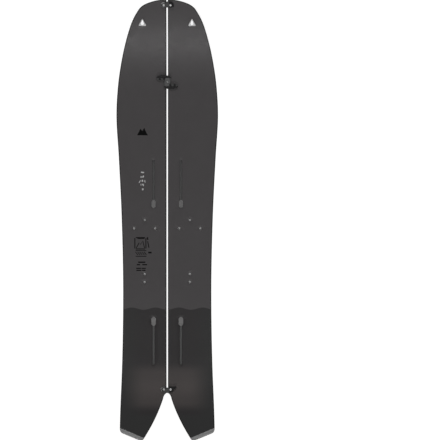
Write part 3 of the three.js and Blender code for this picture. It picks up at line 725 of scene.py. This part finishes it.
def printed_sheet(name, color, roughness=0.33, spread=0.03, specular=0.35):
    """Matte printed plastic with a fine pebble and slightly uneven ink."""
    material, shader, place = new_material(name, color, roughness, specular=specular)
    toned(shader, noise(place, 14), color, spread)
    roughened(shader, noise(place, 60), roughness - 0.04, roughness + 0.04)
    bumped(shader, noise(place, 1100, detail=2), 0.00003, 0.5)
    return material


def tail_print_with_painted_sheen(name, color, painted_sheen, rim):
    """The darker tail print with a painted sheen: a soft lighter band across it that stands in for light,
    fading towards the outer rim.
    """
    material, shader, place = new_material(name, color, 0.33, specular=0.35)
    x, y = (node(place.id_data, "SeparateXYZ", {"Vector": place}, axis) for axis in "XY")
    half_painted_sheen = tuple((3 * b + a) / 4 for a, b in zip(color, painted_sheen))
    stops = [(0, rim), (0.08, color), (0.27, half_painted_sheen), (0.5, painted_sheen), (0.73, half_painted_sheen), (0.94, color)]
    # band is the painted sheen: a lighter stretch standing in for light across the tail
    band = ramp(ranged(y, *TAIL_PAINTED_SHEEN_BAND), stops, "EASE")
    painted_sheen_fade = ranged(calculated("ABSOLUTE", x), *TAIL_PAINTED_SHEEN_FADE, interpolation="SMOOTHSTEP")
    uneven = ramp(noise(place, 14), [(0.3, (0.97,) * 3), (0.7, (1.03,) * 3)])
    # ink is the tail print together with its painted sheen
    ink = mixed(1.0, mixed(painted_sheen_fade, band, rim), uneven, "MULTIPLY")
    feed(shader["Base Color"], ink)
    bumped(shader, noise(place, 1100, detail=2), 0.00004, 0.5)
    return material


def sintered_base(name, color):
    """Sintered base: ground structure lines along the board, with a speckle of pressed grains."""
    material, shader, place = new_material(name, color, 0.33)
    toned(shader, noise(place, 420, detail=3), color, 0.14, ends=(0.35, 0.65))
    lines = noise(stretched(place, (1, 0.015, 1)), 1500, detail=3)
    roughened(shader, lines, 0.27, 0.42)
    bumped(shader, lines, 0.00006, 0.6)
    return material


def brushed_metal(name, color, roughness, along=(1, 0.03, 1), scale=900):
    """Metal brushed along one way, with a slightly uneven tone."""
    material, shader, place = new_material(name, color, roughness, metallic=1)
    brushing = noise(stretched(place, along), scale, detail=5)
    toned(shader, brushing, color, 0.12)
    roughened(shader, brushing, roughness - 0.07, roughness + 0.09)
    bumped(shader, brushing, 0.00003, 0.4)
    return material


def coated_metal(name, color, roughness, specular):
    """Powder-coated metal: a fine orange-peel, worn a little lighter in patches."""
    material, shader, place = new_material(name, color, roughness, specular=specular)
    wear = noise(place, 170, detail=6, roughness=0.7)
    worn = (0.8, tuple(2 * c for c in color))
    toned(shader, wear, color, 0.12, ends=(0.35, 0.62), more=[worn])
    roughened(shader, wear, roughness - 0.06, roughness + 0.08)
    bumped(shader, noise(place, 2600, detail=2), 0.00004, 0.5)
    return material


def machined_plastic(name, color):
    """Sidewall plastic with the fine lines that the grinding belt leaves along it."""
    material, shader, place = new_material(name, color, 0.5)
    lines = noise(stretched(place, (0.2, 0.03, 4)), 900, detail=4)
    toned(shader, lines, color, 0.2)
    roughened(shader, lines, 0.42, 0.58)
    bumped(shader, lines, 0.00005, 0.5)
    return material


def glass_cloth(name):
    """Glass-fibre cloth in resin: two sets of threads, crossing at 45 degrees."""
    material, shader, place = new_material(name, (0.42, 0.38, 0.24), 0.3)
    sets = []
    for turn in (45, -45):
        inputs = {"Vector": stretched(place, (1, 1, 1), turn), "Scale": 180, "Distortion": 0.6}
        sets.append(node(place.id_data, "TexWave", inputs, "Fac"))
    weave = calculated("MAXIMUM", *sets)
    colors = ramp(weave, [(0.2, (0.24, 0.22, 0.13)), (0.9, (0.55, 0.5, 0.34))])
    feed(shader["Base Color"], colors)
    bumped(shader, weave, 0.0001, 0.6)
    return material


def core_wood(name):
    """Strips of light wood glued side by side, with the grain along the board."""
    material, shader, place = new_material(name, (0.52, 0.33, 0.15), 0.6)
    x = node(place.id_data, "SeparateXYZ", {"Vector": place}, "X")
    strip = calculated("SNAP", x, CORE_STRIP)
    tone = node(place.id_data, "TexWhiteNoise", {"W": strip}, "Value", noise_dimensions="1D")
    strips = ramp(tone, [(0, (0.44, 0.27, 0.12)), (1, (0.66, 0.45, 0.23))])
    grain = noise(stretched(place, (1, 0.04, 1)), 520, detail=6, roughness=0.65)
    lines = ramp(grain, [(0.35, (0.6, 0.55, 0.5)), (0.6, (1, 1, 1))])
    feed(shader["Base Color"], mixed(1.0, strips, lines, "MULTIPLY"))
    bumped(shader, grain, 0.00008, 0.5)
    return material


TOP = printed_sheet("topsheet_print", tinted(64, 61.5, 62.5))
# The tail print's second colour is the painted sheen of its lighter band.
TOP_TAIL_WITH_PAINTED_SHEEN = tail_print_with_painted_sheen("topsheet_tail_ink_with_painted_sheen", tinted(35, 32.5, 33.5), tinted(64.5, 59.5, 58.5), grey(36))
# The dark rim: the black sidewall's colour, with painted shade for its bevel.
TOP_SIDEWALL_AND_SHADE_RIM = printed_sheet("topsheet_sidewall_and_shade_rim", grey(12))
INK_BLACK = printed_sheet("black_ink", grey(2), 0.5, spread=0.15, specular=0.08)
INK_GREY = printed_sheet("pale_ink", grey(178), 0.4, spread=0.06)
INK_WHITE = printed_sheet("white_base_ink", grey(244), roughness=0.36, spread=0.02)
BASE_BLACK = sintered_base("base_black", tinted(33, 31, 32))
BASE_GOLD = sintered_base("base_gold", tinted(146, 115, 58))
STEEL = brushed_metal("edge_steel", (0.55, 0.56, 0.55), 0.3)
SIDEWALL = machined_plastic("sidewall_plastic", grey(32))
GLASS = glass_cloth("glass_cloth")
WOOD = core_wood("core_wood")
GUARD = brushed_metal("guard_plate", (0.3, 0.3, 0.3), 0.42, along=(0.05, 1, 1))
BRIGHT = brushed_metal("bright_metal", (0.5, 0.5, 0.5), 0.48, along=(1, 1, 1), scale=1400)
CHANNEL = brushed_metal("channel_metal", (0.1, 0.1, 0.1), 0.42)
# The pocket's floor is the slot's metal painted lighter: painted light for the wider opening.
POCKET_PAINTED_LIGHT = brushed_metal("pocket_metal_painted_light", (0.2, 0.197, 0.197), 0.42)
ZINC = brushed_metal("insert_zinc", (0.6, 0.6, 0.6), 0.45, along=(1, 1, 1), scale=1400)
BLACK = coated_metal("black_coating", (0.009, 0.0085, 0.009), 0.5, specular=0.2)
GREY = brushed_metal("grey_anodised", (0.1, 0.1, 0.1), 0.4, along=(1, 0.2, 1))
# Painted highlight: lighter metal on stretches of the keeper plates' rims, where the light catches them.
RIM_HIGHLIGHT = brushed_metal("rim_highlight_metal", (0.3, 0.3, 0.3), 0.4, along=(1, 0.2, 1))
BARE = brushed_metal("bare_metal", (0.12, 0.12, 0.12), 0.45, along=(1, 0.2, 1))
CHARCOAL = coated_metal("charcoal_coating", grey(58), 0.5, specular=0.3)


# ---- Printed marks: plain shapes only ----

def slanted(x, y, length, lean, width):
    """A short straight stroke through a point, leaning in degrees from upright."""
    d = np.array([math.sin(math.radians(lean)), math.cos(math.radians(lean))]) * length / 2
    return stroke([np.array([x, y]) - d, np.array([x, y]) + d], width)


def row(x, count, pitch):
    """Evenly spaced places, centred on x."""
    return x + (np.arange(count) - (count - 1) / 2) * pitch


def peaks(x, y, width, height):
    """The silhouette of two plain mountains."""
    shape = [(-0.5, -0.5), (-0.38, -0.3), (-0.14, 0.5), (0.02, 0.08), (0.1, 0.2), (0.2, 0.38)]
    return np.array([*shape, (0.42, -0.26), (0.5, -0.5)]) * (width, height) + (x, y)


def chevrons(x, y, count, pitch, size, width):
    """A row of open chevrons, centred on a point."""
    upper = np.array([(-0.36, -0.5), (0, 0.5), (0.36, -0.5)]) * size
    lower = upper[::-1] - [(width, 0), (0, 1.7 * width), (-width, 0)]
    return [np.vstack([upper, lower]) + (place, y) for place in row(x, count, pitch)]


def tick_row(x, y, count, pitch, length, width):
    leans = (-6, -3, 3, 6)
    return [slanted(place, y, length, leans[k % 4], width) for k, place in enumerate(row(x, count, pitch))]


def frame_mark(x, y, width, height, line):
    """The four strokes of a plain rectangular frame, apart at its corners."""
    across = [slanted(x, y + side * height / 2, width - 2 * line, 90, line) for side in (1, -1)]
    return across + [slanted(x + side * width / 2, y, height - line, 0, line) for side in (1, -1)]


def crossings(x, y, width, height, count, line):
    """A row of leaning strokes between two level ones."""
    across = [slanted(x, y + side * height / 2, width, 90, line) for side in (-1, 1)]
    length = height - 2.5 * line
    return across + [slanted(place, y, length, 38, line) for place in row(x, count, width / count)]


# On the top sheet of the left half, as seen there mirrored to the right half's side.
BLACK_MARKS = [
    peaks(82.5, 298.6, 37, 25),
    *frame_mark(90, -76, 37, 38, 3.2),
    slanted(88, -58.5, 24, 90, 5.4),
    stroke([(104, -92), (94, -74), (90, -80), (82, -68), (76, -92)], 2.8),
    *crossings(88, -110, 36, 19, 5, 2.5),
    *[slanted(*mark) for mark in (
        (66, -60, 9, 10, 4.4), (63.5, -80, 22, 12, 3), (58, -107, 11, 90, 5.4), (85.5, -139.4, 24, 90, 4.4),
        (96.5, -147.6, 11, 90, 3.8), (75.5, -147.6, 16, 90, 3.8), (96, -160, 16, 90, 3.6),
        (79, -160, 14, 90, 3.6), (95, -166.6, 17, 90, 3.6), (78.5, -166.6, 12, 90, 3.6))],
]
PALE_MARKS = [slanted(*mark) for mark in (
    (83, 161.5, 10, 82, 4), (80.8, 147.6, 7, -38, 4.2), (87.6, 146.2, 6, 0, 3), (83.2, 133.4, 6.4, 0, 5),
    (92, 131, 10, -30, 2.2), (74.8, 131.5, 8.5, 10, 2.2), (88, 120.4, 6, 10, 2.2), (81, 120, 7.4, 30, 4.4),
    (81.8, 105, 6.2, -6, 4.8))]
# On the base of the right half.
BASE_MARKS = [
    peaks(78, 509.7, 93, 56),
    *tick_row(73.5, -50, 4, 11, 25, 4),
    *chevrons(76, -97, 3, 18, 25, 3.6),
    *chevrons(73, -138, 4, 19, 28, 3.6),
    *chevrons(75, -182, 3, 17, 25, 3.6),
    *tick_row(75, -224, 4, 10, 24, 4),
]


def within_any(points, loops):
    return np.any([inside(points, loop) for loop in loops], axis=0)


# ---- Pieces of one half, drawn as the right half ----

TIP_HOLE_LOOP = round_circles(TIP_OPENING)


def screw_loops(sign):
    """Screw holes under the seam hardware, drawn on the right half's side."""
    places = [NOSE_CLIP, TAIL_CLIP, *[(-x, HOOK_Y - sign * y) for x, y in HOOK_RIVETS]]
    return [circle(place, SHANK_HOLE, 16) for place in places]


def board_plan(outer, inner, guard_width, holes=(), extra=(), zone=None, lines=()):
    """Plan of a layer: the outline moved inwards, cut off ahead of the guard, with holes.
    zone may split it further: it gets the points and returns their zones."""
    loop = inset_outline(outer, inner)
    limit = guard_width + RIM_GAP

    def zones(points):
        solid = inside(points, loop) & (beyond_trailing_edge(points) < -limit)
        if holes:
            solid &= ~within_any(points, holes)
        return np.where(solid, zone(points) if zone else 0, -1)

    return plan([loop, *holes, *extra], zones, [guard_line(limit), *lines], BOARD_GRID)


def wave_line(shift=0):
    x = np.linspace(0, WAVE_REACH, WAVE_STEPS + 1)
    return np.column_stack([x, wave_y(x) + shift])


def insert_holes(radius, steps):
    return [circle(centre, radius + INSERT_CLEARANCE, steps) for centre in INSERTS.values()]


def top_holes(sign):
    """Openings in the layers over the core."""
    slots = [keyhole(spec, RIM_GAP) for spec in CHANNELS.values()]
    return [TIP_HOLE_LOOP, *slots, *screw_loops(sign), *insert_holes(INSERT_RADIUS, 24)]


def topsheet(sign):
    """Zones: 0 front print, 1 tail print with a painted sheen, 2 dark rim painted for the black sidewall and
    the shade on its bevel, 3 black ink, 4 pale ink.
    """
    dark_rim_loop = inset_outline(RIM_SIDEWALL_AND_SHADE_WIDTH, RIM_SIDEWALL_AND_SHADE_WIDTH)
    marks = [*BLACK_MARKS, *PALE_MARKS] if sign < 0 else []

    def zone(points):
        zones = np.where(points[:, 1] < wave_y(points[:, 0]), 1, 0)
        if marks:
            zones[within_any(points, BLACK_MARKS)] = 3
            zones[within_any(points, PALE_MARKS)] = 4
        zones[~inside(points, dark_rim_loop)] = 2
        return zones

    cut = board_plan(0, 0, GUARD_TOP_WIDTH, top_holes(sign), [dark_rim_loop, *marks], zone, [wave_line()])
    levels = [(below(TOPSHEET_DOWN), 0), *rounded(below, TOPSHEET_ROUND)]
    solids = {zone: [(0, len(levels) - 1)] for zone in range(5)}
    # The rounded rim and the sides get the dark rim too: sidewall colour and painted shade.
    return raised(cut, levels, solids, {zone: zone for zone in range(5)}, side_paint=2)


def upper_laminate(sign):
    cut = board_plan(LAMINATE_INSET, LAMINATE_INSET, GUARD_TOP_WIDTH, top_holes(sign))
    low, high = UPPER_LAMINATE_DOWN
    return layer(cut, below(low), below(high))


def lower_laminate():
    cut = board_plan(LAMINATE_INSET, LAMINATE_INSET, GUARD_WIDTH, [TIP_HOLE_LOOP])
    low, high = LOWER_LAMINATE
    return layer(cut, above(low), above(high))


def channel_blank(spec, extra=0):
    ends = (spec[0], spec[2])
    reach = CHANNEL_BORDER + extra
    return stadium(CHANNEL_X, max(ends) + reach, min(ends) - reach, spec[4] + 2 * reach)


def core():
    blanks = [channel_blank(spec, GLUE) for spec in CHANNELS.values()]
    holes = [TIP_HOLE_LOOP, *blanks, *insert_holes(INSERT_FLANGE, 32)]
    cut = board_plan(OUTER_SIDEWALL + GLUE, INNER_SIDEWALL + GLUE, GUARD_WIDTH, holes)
    return layer(cut, above(CORE_LOW), below(CORE_DOWN))


def base_front(sign):
    """Zones: 0 black, 1 white ink, on the right half only."""
    marks = BASE_MARKS if sign > 0 else []

    def zone(points):
        inked = within_any(points, marks) if marks else 0
        return np.where(points[:, 1] > wave_y(points[:, 0]), inked, -1)

    cut = board_plan(BASE_INSET, BASE_INSET, GUARD_WIDTH, [TIP_HOLE_LOOP], marks, zone, [wave_line()])
    return raised(cut, [(above(0), 0), (above(BASE_TOP), 0)], {0: [(0, 1)], 1: [(0, 1)]}, under={1: 1})


def base_tail():
    def zone(points):
        return np.where(points[:, 1] < wave_y(points[:, 0]) - RIM_GAP, 0, -1)

    cut = board_plan(BASE_INSET, BASE_INSET, GUARD_WIDTH, zone=zone, lines=[wave_line(-RIM_GAP)])
    return layer(cut, above(0), above(BASE_TOP))


def rim_strip(side, near, far):
    """The strip along one side of the outline between two insets, a little short of the nose tip."""
    paths = [inset_sides(d, d)[side].copy() for d in (near, far)]
    for path in paths:
        if side == "outer":
            path[0, 0] += RIM_GAP
        else:
            path[-1, 1] -= RIM_GAP
    return np.vstack([paths[0], paths[1][::-1]])


def strip_plan(side, insets):
    strips = [rim_strip(side, near, far) for near, far in zip(insets, insets[1:])]
    limit = GUARD_WIDTH + RIM_GAP

    def zones(points):
        result = np.full(len(points), -1)
        for zone, strip in enumerate(strips):
            result[inside(points, strip)] = zone
        result[beyond_trailing_edge(points) > -limit] = -1
        return result

    return plan(strips, zones, [guard_line(limit)])


def edge(side):
    """Zones: 0 the head that shows, 1 the flange under the laminate."""
    cut = strip_plan(side, [0, EDGE_WIDTH, EDGE_FLANGE_WIDTH])
    levels = [*rounded(above, EDGE_ROUND, up=False), (above(EDGE_FLANGE_LOW), 0), (above(EDGE_TOP), 0)]
    top = len(levels) - 1
    return raised(cut, levels, {0: [(0, top)], 1: [(top - 1, top)]})


def sidewall(side, width):
    return layer(strip_plan(side, [0, width]), above(CORE_LOW), below(CORE_DOWN))


def tail_guard():
    """Zones: 0 the full-height strip, 1 the lip over the top."""
    loop = inset_outline(0, 0)

    def zones(points):
        d = -beyond_trailing_edge(points)
        strip = np.where(d < GUARD_WIDTH, 0, np.where(d < GUARD_TOP_WIDTH, 1, -1))
        return np.where(inside(points, loop), strip, -1)

    cut = plan([loop], zones, [guard_line(GUARD_WIDTH), guard_line(GUARD_TOP_WIDTH)])
    foot = rounded(above, GUARD_ROUNDS[0], up=False)
    levels = [*foot, (below(CORE_DOWN - GLUE), 0), *rounded(below, GUARD_ROUNDS[1])]
    top = len(levels) - 1
    return raised(cut, levels, {0: [(0, top)], 1: [(len(foot), top)]})


def tip_grommet():
    """Zones: 0 flange outside the sleeve, 1 sleeve, 2 flange inside the sleeve, round the pear opening."""
    flange, pear = round_circles(GROMMET_FLANGE), round_circles(PEAR)
    sleeve, bore = (round_circles(TIP_OPENING, extra) for extra in GROMMET_SLEEVE)

    def zones(points):
        ring = np.where(inside(points, bore), 2, np.where(inside(points, sleeve), 1, 0))
        return np.where(inside(points, flange) & ~inside(points, pear), ring, -1)

    cut = plan([flange, pear, sleeve, bore], zones)
    low, high = GROMMET_HEIGHT
    top_rim = rounded(lambda d: below(d - high), GROMMET_ROUND)
    levels = [(above(SLEEVE_FOOT), 0), (below(-low), 0), *top_rim]
    top = len(levels) - 1
    return raised(cut, levels, {0: [(1, top)], 1: [(0, top)], 2: [(1, top)]})


def channel(spec):
    """Zones: 0 full height, 1 under the lips of the slot, 2 the open slot, 3 the open pocket, whose floor is
    painted lighter as painted light for its wider opening.
    """
    pocket_ends = sorted(spec[1:3])
    rear, front = sorted([spec[0], sum(pocket_ends) / 2])
    blank, opening = channel_blank(spec), keyhole(spec)
    cavity = stadium(CHANNEL_X, front, rear, CAVITY_WIDTH)

    def zones(points):
        in_pocket = (points[:, 1] > pocket_ends[0]) & (points[:, 1] < pocket_ends[1])
        closed = np.where(inside(points, cavity), 1, 0)
        depth = np.where(inside(points, opening), np.where(in_pocket, 3, 2), closed)
        return np.where(inside(points, blank), depth, -1)

    across = np.array([(CHANNEL_X + side * CAVITY_WIDTH, spec[1]) for side in (-1, 1)])
    cut = plan([blank, opening, cavity], zones, [across])
    heights = [above(CHANNEL_FLOOR), above(CAVITY_FLOOR), below(LIPS_DOWN), below(CHANNEL_DOWN)]
    solids = {0: [(0, 3)], 1: [(0, 1), (2, 3)], 2: [(0, 1)], 3: [(0, 1)]}
    return raised(cut, [(height, 0) for height in heights], solids, paint={3: 1})


def insert():
    """A flanged barrel with a threaded blind bore, standing on the core's floor."""
    low = CAMBER + CORE_LOW
    high = CAMBER + THICKNESS - INSERT_TOP_DOWN
    shoulder = low + INSERT_FLANGE_HEIGHT
    floor = shoulder + INSERT_FLOOR
    threads = []
    z = high - INSERT_LEAD
    while z - THREAD_PITCH > floor:
        threads += [(INSERT_BORE, z), (INSERT_BORE - THREAD_DEPTH, z - THREAD_PITCH / 2)]
        z -= THREAD_PITCH
    return lathe([
        (0, low), (INSERT_FLANGE, low), (INSERT_FLANGE, shoulder), (INSERT_RADIUS, shoulder),
        (INSERT_RADIUS, high - INSERT_CHAMFER), (INSERT_RADIUS - INSERT_CHAMFER, high),
        (INSERT_BORE + INSERT_MOUTH, high), *threads, (INSERT_BORE, floor), (0, floor),
    ])


def half(side, sign):
    """Every piece laminated into one half."""
    body = side + "_half"
    flip = sign < 0

    def add(name, solid, materials, matrix=None):
        piece(name + "_" + side, solid, materials, body, matrix, flip)

    add("topsheet", topsheet(sign), [TOP, TOP_TAIL_WITH_PAINTED_SHEEN, TOP_SIDEWALL_AND_SHADE_RIM, INK_BLACK, INK_GREY])
    add("upper_laminate", upper_laminate(sign), [GLASS])
    add("core", core(), [WOOD])
    add("lower_laminate", lower_laminate(), [GLASS])
    add("base_front", base_front(sign), [BASE_BLACK, INK_WHITE])
    add("base_tail", base_tail(), [BASE_GOLD])
    add("outer_edge", edge("outer"), [STEEL])
    add("inner_edge", edge("inner"), [STEEL])
    add("outer_sidewall", sidewall("outer", OUTER_SIDEWALL), [SIDEWALL])
    add("inner_sidewall", sidewall("inner", INNER_SIDEWALL), [SIDEWALL])
    add("tail_guard", tail_guard(), [GUARD])
    add("tip_grommet", tip_grommet(), [BRIGHT])
    for name, spec in CHANNELS.items():
        add(name, channel(spec), [CHANNEL, POCKET_PAINTED_LIGHT])
    for name, (x, y) in INSERTS.items():
        add(name, insert(), [ZINC], Matrix.Translation((sign * x * MM, y * MM, 0)))


half("right", 1)
half("left", -1)


# ---- Hardware across the seam, in its own frame on the top side ----

def seat(y, stretch):
    """Frame that stands on the straight line between two places of the top side, with its origin at y."""
    rear, front = stretch
    ends = topside(np.array([rear, front], float))
    slope = (ends[1] - ends[0]) / (front - rear)
    place = Vector((0, y, ends[0] + slope * (y - rear))) * MM
    return Matrix.Translation(place) @ Matrix.Rotation(math.atan(slope), 4, "X")


def clip_plate(sign, x, rim_turns):
    """Zones: 0 the sunk face, 1 the rim, 2 a stretch of the rim between two angles in degrees, which the
    keeper plates paint lighter as a painted highlight.
    """
    centre = (sign * x, 0)
    inner = PLATE_RADIUS - RIM_WIDTH
    disc, face = circle(centre, PLATE_RADIUS, 72), circle(centre, inner, 72)
    hole = circle(centre, SHANK_HOLE, 24)
    outer_arc = arc(centre, PLATE_RADIUS + HIGHLIGHT_BEYOND, *rim_turns)
    highlight_stretch = np.vstack([outer_arc, arc(centre, inner - HIGHLIGHT_BEYOND, *rim_turns[::-1])])

    def zones(points):
        solid = inside(points, disc) & (sign * points[:, 0] > SEAM_X) & ~inside(points, hole)
        rim = np.where(inside(points, face), 0, np.where(inside(points, highlight_stretch), 2, 1))
        return np.where(solid, rim, -1)

    cut = plan([disc, face, hole, highlight_stretch], zones, [cut_line(sign * SEAM_X)])
    low, high = PLATE_HEIGHTS
    sunk = [(level(low), -CHAMFER), (level(low + CHAMFER), 0), (level(high - PLATE_SINK), 0)]
    levels = [*sunk, *rounded(down_from(high), PLATE_SINK)[1:]]
    top = len(levels) - 1
    return raised(cut, levels, {0: [(0, len(sunk) - 1)], 1: [(0, top)], 2: [(0, top)]}, paint={2: 1})


def keeper_post():
    """A screwed post with a waist where the jaw closes, and a socket in its end."""
    r = POST_RADIUS
    return lathe([
        (0, SHANK_LOW), (SHANK_RADIUS, SHANK_LOW), (SHANK_RADIUS, 1.9), (r - 0.25, 2.0), (r, 2.25), (r, 2.7),
        (r - 0.35, 3.1), (r - 0.35, 4.4), (r, 4.8), (r, 5.2), (r - 0.15, 5.45), (r - 0.45, 5.6), (1.7, 5.6),
        (1.45, 5.4), (1.35, 4.2), (0, 4.0),
    ])


def headed(radius, low, high, socket=0):
    """A pivot or rivet: a plain shank under a low domed head, which may have a socket."""
    rise = HEAD_DOME * (high - low)
    dome = [(radius * math.cos(a), high - rise + rise * math.sin(a)) for a in np.radians([0, 20, 40, 58])]
    top = [(radius * 0.25, high - 0.02), (0, high)]
    if socket:
        top = [(socket + 0.25, high), (socket, high - 0.2), (socket - 0.1, high - 0.8), (0, high - 0.9)]
    shank = [(0, SHANK_LOW), (SHANK_RADIUS, SHANK_LOW), (SHANK_RADIUS, low)]
    return lathe([*shank, (radius - CHAMFER, low), (radius, low + CHAMFER), *dome, *top])


def latch(reach, flap, lug, arm):
    """Zones: 0 the plate round the pivot, 1 the raised thumb lug, 2 the worn arm over the seam.
    The pivot is at the origin, the post at -reach."""
    disc = circle((0, 0), LATCH_DISC, 64)
    jaw = circle((-reach, 0), JAW_RADIUS, 56)
    foot = RIM_GAP - LATCH_DISC  # a little inside the disc, so that no two points meet there
    bar = np.array([(0, LATCH_SHOULDER), (-reach, LATCH_SHOULDER), (-reach, -JAW_RADIUS), (0, foot)])
    bore = circle((0, 0), SHANK_HOLE, 26)
    post = circle((-reach, 0), POST_ROOM, 40)
    swing = [arc((0, 0), reach + POST_ROOM, 180, 90, 40), arc((0, 0), reach - POST_ROOM, 90, 180, 40)]
    side = POST_ROOM * math.sqrt(0.5)
    mouth = np.array([(-side, -side), (side, side)]) + (-reach, 0)
    slide = np.vstack([mouth, mouth[::-1] + (-SLIDE_ROOM, SLIDE_ROOM)])
    full = [disc, jaw, bar, flap, lug, arm]
    free = [bore, post, np.vstack(swing), slide]

    def zones(points):
        part = np.where(inside(points, lug), 1, np.where(points[:, 0] < -LATCH_WORN_X, 2, 0))
        return np.where(within_any(points, full) & ~within_any(points, free), part, -1)

    return plan([*full, *free], zones, [cut_line(-LATCH_WORN_X)])


def latch_solid(cut, raise_by):
    low, high = LATCH_HEIGHTS
    body = [(level(low), -CHAMFER), (level(low + CHAMFER), 0), *rounded(down_from(high), LATCH_ROUND)]
    levels = [*body, *rounded(down_from(high + raise_by), LUG_ROUND)]
    flat, top = len(body) - 1, len(levels) - 1
    return raised(cut, levels, {0: [(0, flat)], 1: [(0, top)], 2: [(0, flat)]}, paint={2: 1})


def hook():
    """Zones: 0 body, 2 raised ridge, 4 bare metal where the two hooks meet, 6 black band beside the ridge.
    Past the seam, in the claw, each is one more."""
    crest = smooth_path(HOOK_CREST)
    body = np.vstack([crest, smooth_path(HOOK_CLAW), HOOK_FOOT])
    ridge = np.vstack([crest, smooth_path(HOOK_RIDGE)])
    band = np.array(HOOK_BAND)
    holes = [circle(place, SHANK_HOLE, 24) for place in HOOK_RIVETS]
    bare = circle((0, 0), 1, 48) * HOOK_BARE

    def zones(points):
        low_zone = np.where(inside(points, bare), 4, np.where(inside(points, band), 6, 0))
        zone = np.where(inside(points, ridge), 2, low_zone) + np.where(points[:, 0] > -SEAM_X, 1, 0)
        return np.where(inside(points, body) & ~within_any(points, holes), zone, -1)

    cut = plan([body, ridge, bare, band, *holes], zones, [cut_line(-SEAM_X)])
    low, high = HOOK_HEIGHTS
    plate = [(level(low), 0), (level(CLAW_LOW), 0), *rounded(down_from(high), HOOK_ROUND)]
    levels = [*plate, *rounded(down_from(HOOK_RIDGE_TOP), HOOK_ROUND)]
    flat, top = len(plate) - 1, len(levels) - 1
    solids = {zone: [(zone % 2, top if zone in (2, 3) else flat)] for zone in range(8)}
    return raised(cut, levels, solids, {0: 1, 1: 1, 4: 2, 5: 2}, side_paint=1)


def at(frame_matrix, x, y=0):
    return frame_matrix @ Matrix.Translation((x * MM, y * MM, 0))


def clip(prefix, place, stretch, highlight_stretch, latch_shape):
    """A plate with its keeper post on the left half, and a plate with its latch and pivot on the right."""
    x, y = place
    base = seat(y, stretch)
    left, right = "left_half", "right_half"
    latch_plate = clip_plate(1, x, LATCH_PLATE_RIM_STRETCH)
    pivot = headed(*PIVOT_HEAD, PIVOT_SOCKET)
    piece(prefix + "_keeper_plate", clip_plate(-1, x, highlight_stretch), [GREY, RIM_HIGHLIGHT], left, base)
    piece(prefix + "_keeper_post", keeper_post(), [BRIGHT], left, at(base, -x))
    piece(prefix + "_latch_plate", latch_plate, [BLACK, BLACK], right, base)
    piece(prefix + "_latch", latch_shape, [BLACK, CHARCOAL], prefix + "_latch", at(base, x))
    piece(prefix + "_latch_pivot", pivot, [BRIGHT], right, at(base, x))


nose_latch = latch(2 * NOSE_CLIP[0], NOSE_FLAP, NOSE_LUG, NOSE_LUG)
clip("nose", NOSE_CLIP, NOSE_SEAT, NOSE_RIM_HIGHLIGHT, latch_solid(nose_latch, NOSE_LUG_RAISE))
tail_latch = latch(2 * TAIL_CLIP[0], TAIL_FLAP, TAIL_LUG, TAIL_ARM)
clip("tail", TAIL_CLIP, TAIL_SEAT, TAIL_RIM_HIGHLIGHT, latch_solid(tail_latch, TAIL_LUG_RAISE))

hook_seat = seat(HOOK_Y, HOOK_SEAT)
for side, turn in (("left", 0), ("right", math.pi)):
    turned_seat = hook_seat @ Matrix.Rotation(turn, 4, "Z")
    body = side + "_half"
    piece("hook_" + side, hook(), [BLACK, CHARCOAL, BARE], body, turned_seat)
    for number, (x, y) in enumerate(HOOK_RIVETS, 1):
        name = "hook_rivet_" + side + "_" + str(number)
        piece(name, headed(*RIVET_HEAD), [BLACK], body, at(turned_seat, x, y))


# ---- Studio ----

def floor():
    """A very large pale floor, so that low views don't see its end. It glows, as a light table does."""
    mesh = bpy.data.meshes.new("floor")
    corners = [(x * FLOOR_SIZE, y * FLOOR_SIZE, 0) for x, y in ((-1, -1), (1, -1), (1, 1), (-1, 1))]
    mesh.from_pydata(corners, [], [(0, 1, 2, 3)])
    obj = placed("floor", mesh)
    material, shader, place = new_material("floor_paint", FLOOR_PAINT, 0.7, specular=0)
    toned(shader, noise(place, 3), FLOOR_PAINT, 0.02)
    feed(shader["Emission Color"], (1, 1, 1))
    feed(shader["Emission Strength"], FLOOR_GLOW)
    mesh.materials.append(material)


def sun(name, tilt, strength, spread):
    """A distant light in the plane of the seam. The tilt is degrees from straight above, towards +Y."""
    data = bpy.data.lights.new(name, "SUN")
    data.energy = strength
    data.angle = math.radians(spread)
    placed(name, data).rotation_euler = (math.radians(-tilt), 0, 0)


def background(tree, strength):
    return node(tree, "Background", {"Color": (1, 1, 1), "Strength": strength}, "Background")


def studio():
    """Soft light all round, and suns from behind the tail, from before the nose and from nearly above."""
    world = bpy.data.worlds.new("studio")
    world.use_nodes = True
    tree = world.node_tree
    seen = node(tree, "LightPath", {}, "Is Camera Ray")
    lights = {"Fac": seen, 1: background(tree, WORLD_LIGHT), 2: background(tree, BACKDROP)}
    feed(tree.nodes["World Output"].inputs["Surface"], node(tree, "MixShader", lights, "Shader"))
    scene = bpy.context.scene
    scene.world = world
    for name, (tilt, strength, spread) in SUNS.items():
        sun(name, tilt, strength, spread)
    scene.view_settings.view_transform = "Standard"
    scene.view_settings.look = "None"


def camera():
    """Straight above, far away with a long lens. The board stands at the left of the picture."""
    data = bpy.data.cameras.new("camera")
    data.lens = LENS
    data.sensor_width = SENSOR
    data.clip_end = CLIP_END
    obj = placed("camera", data)
    obj.location = (*FRAME_CENTRE, FRAME_WIDTH * LENS / SENSOR)
    bpy.context.scene.camera = obj


floor()
studio()
camera()
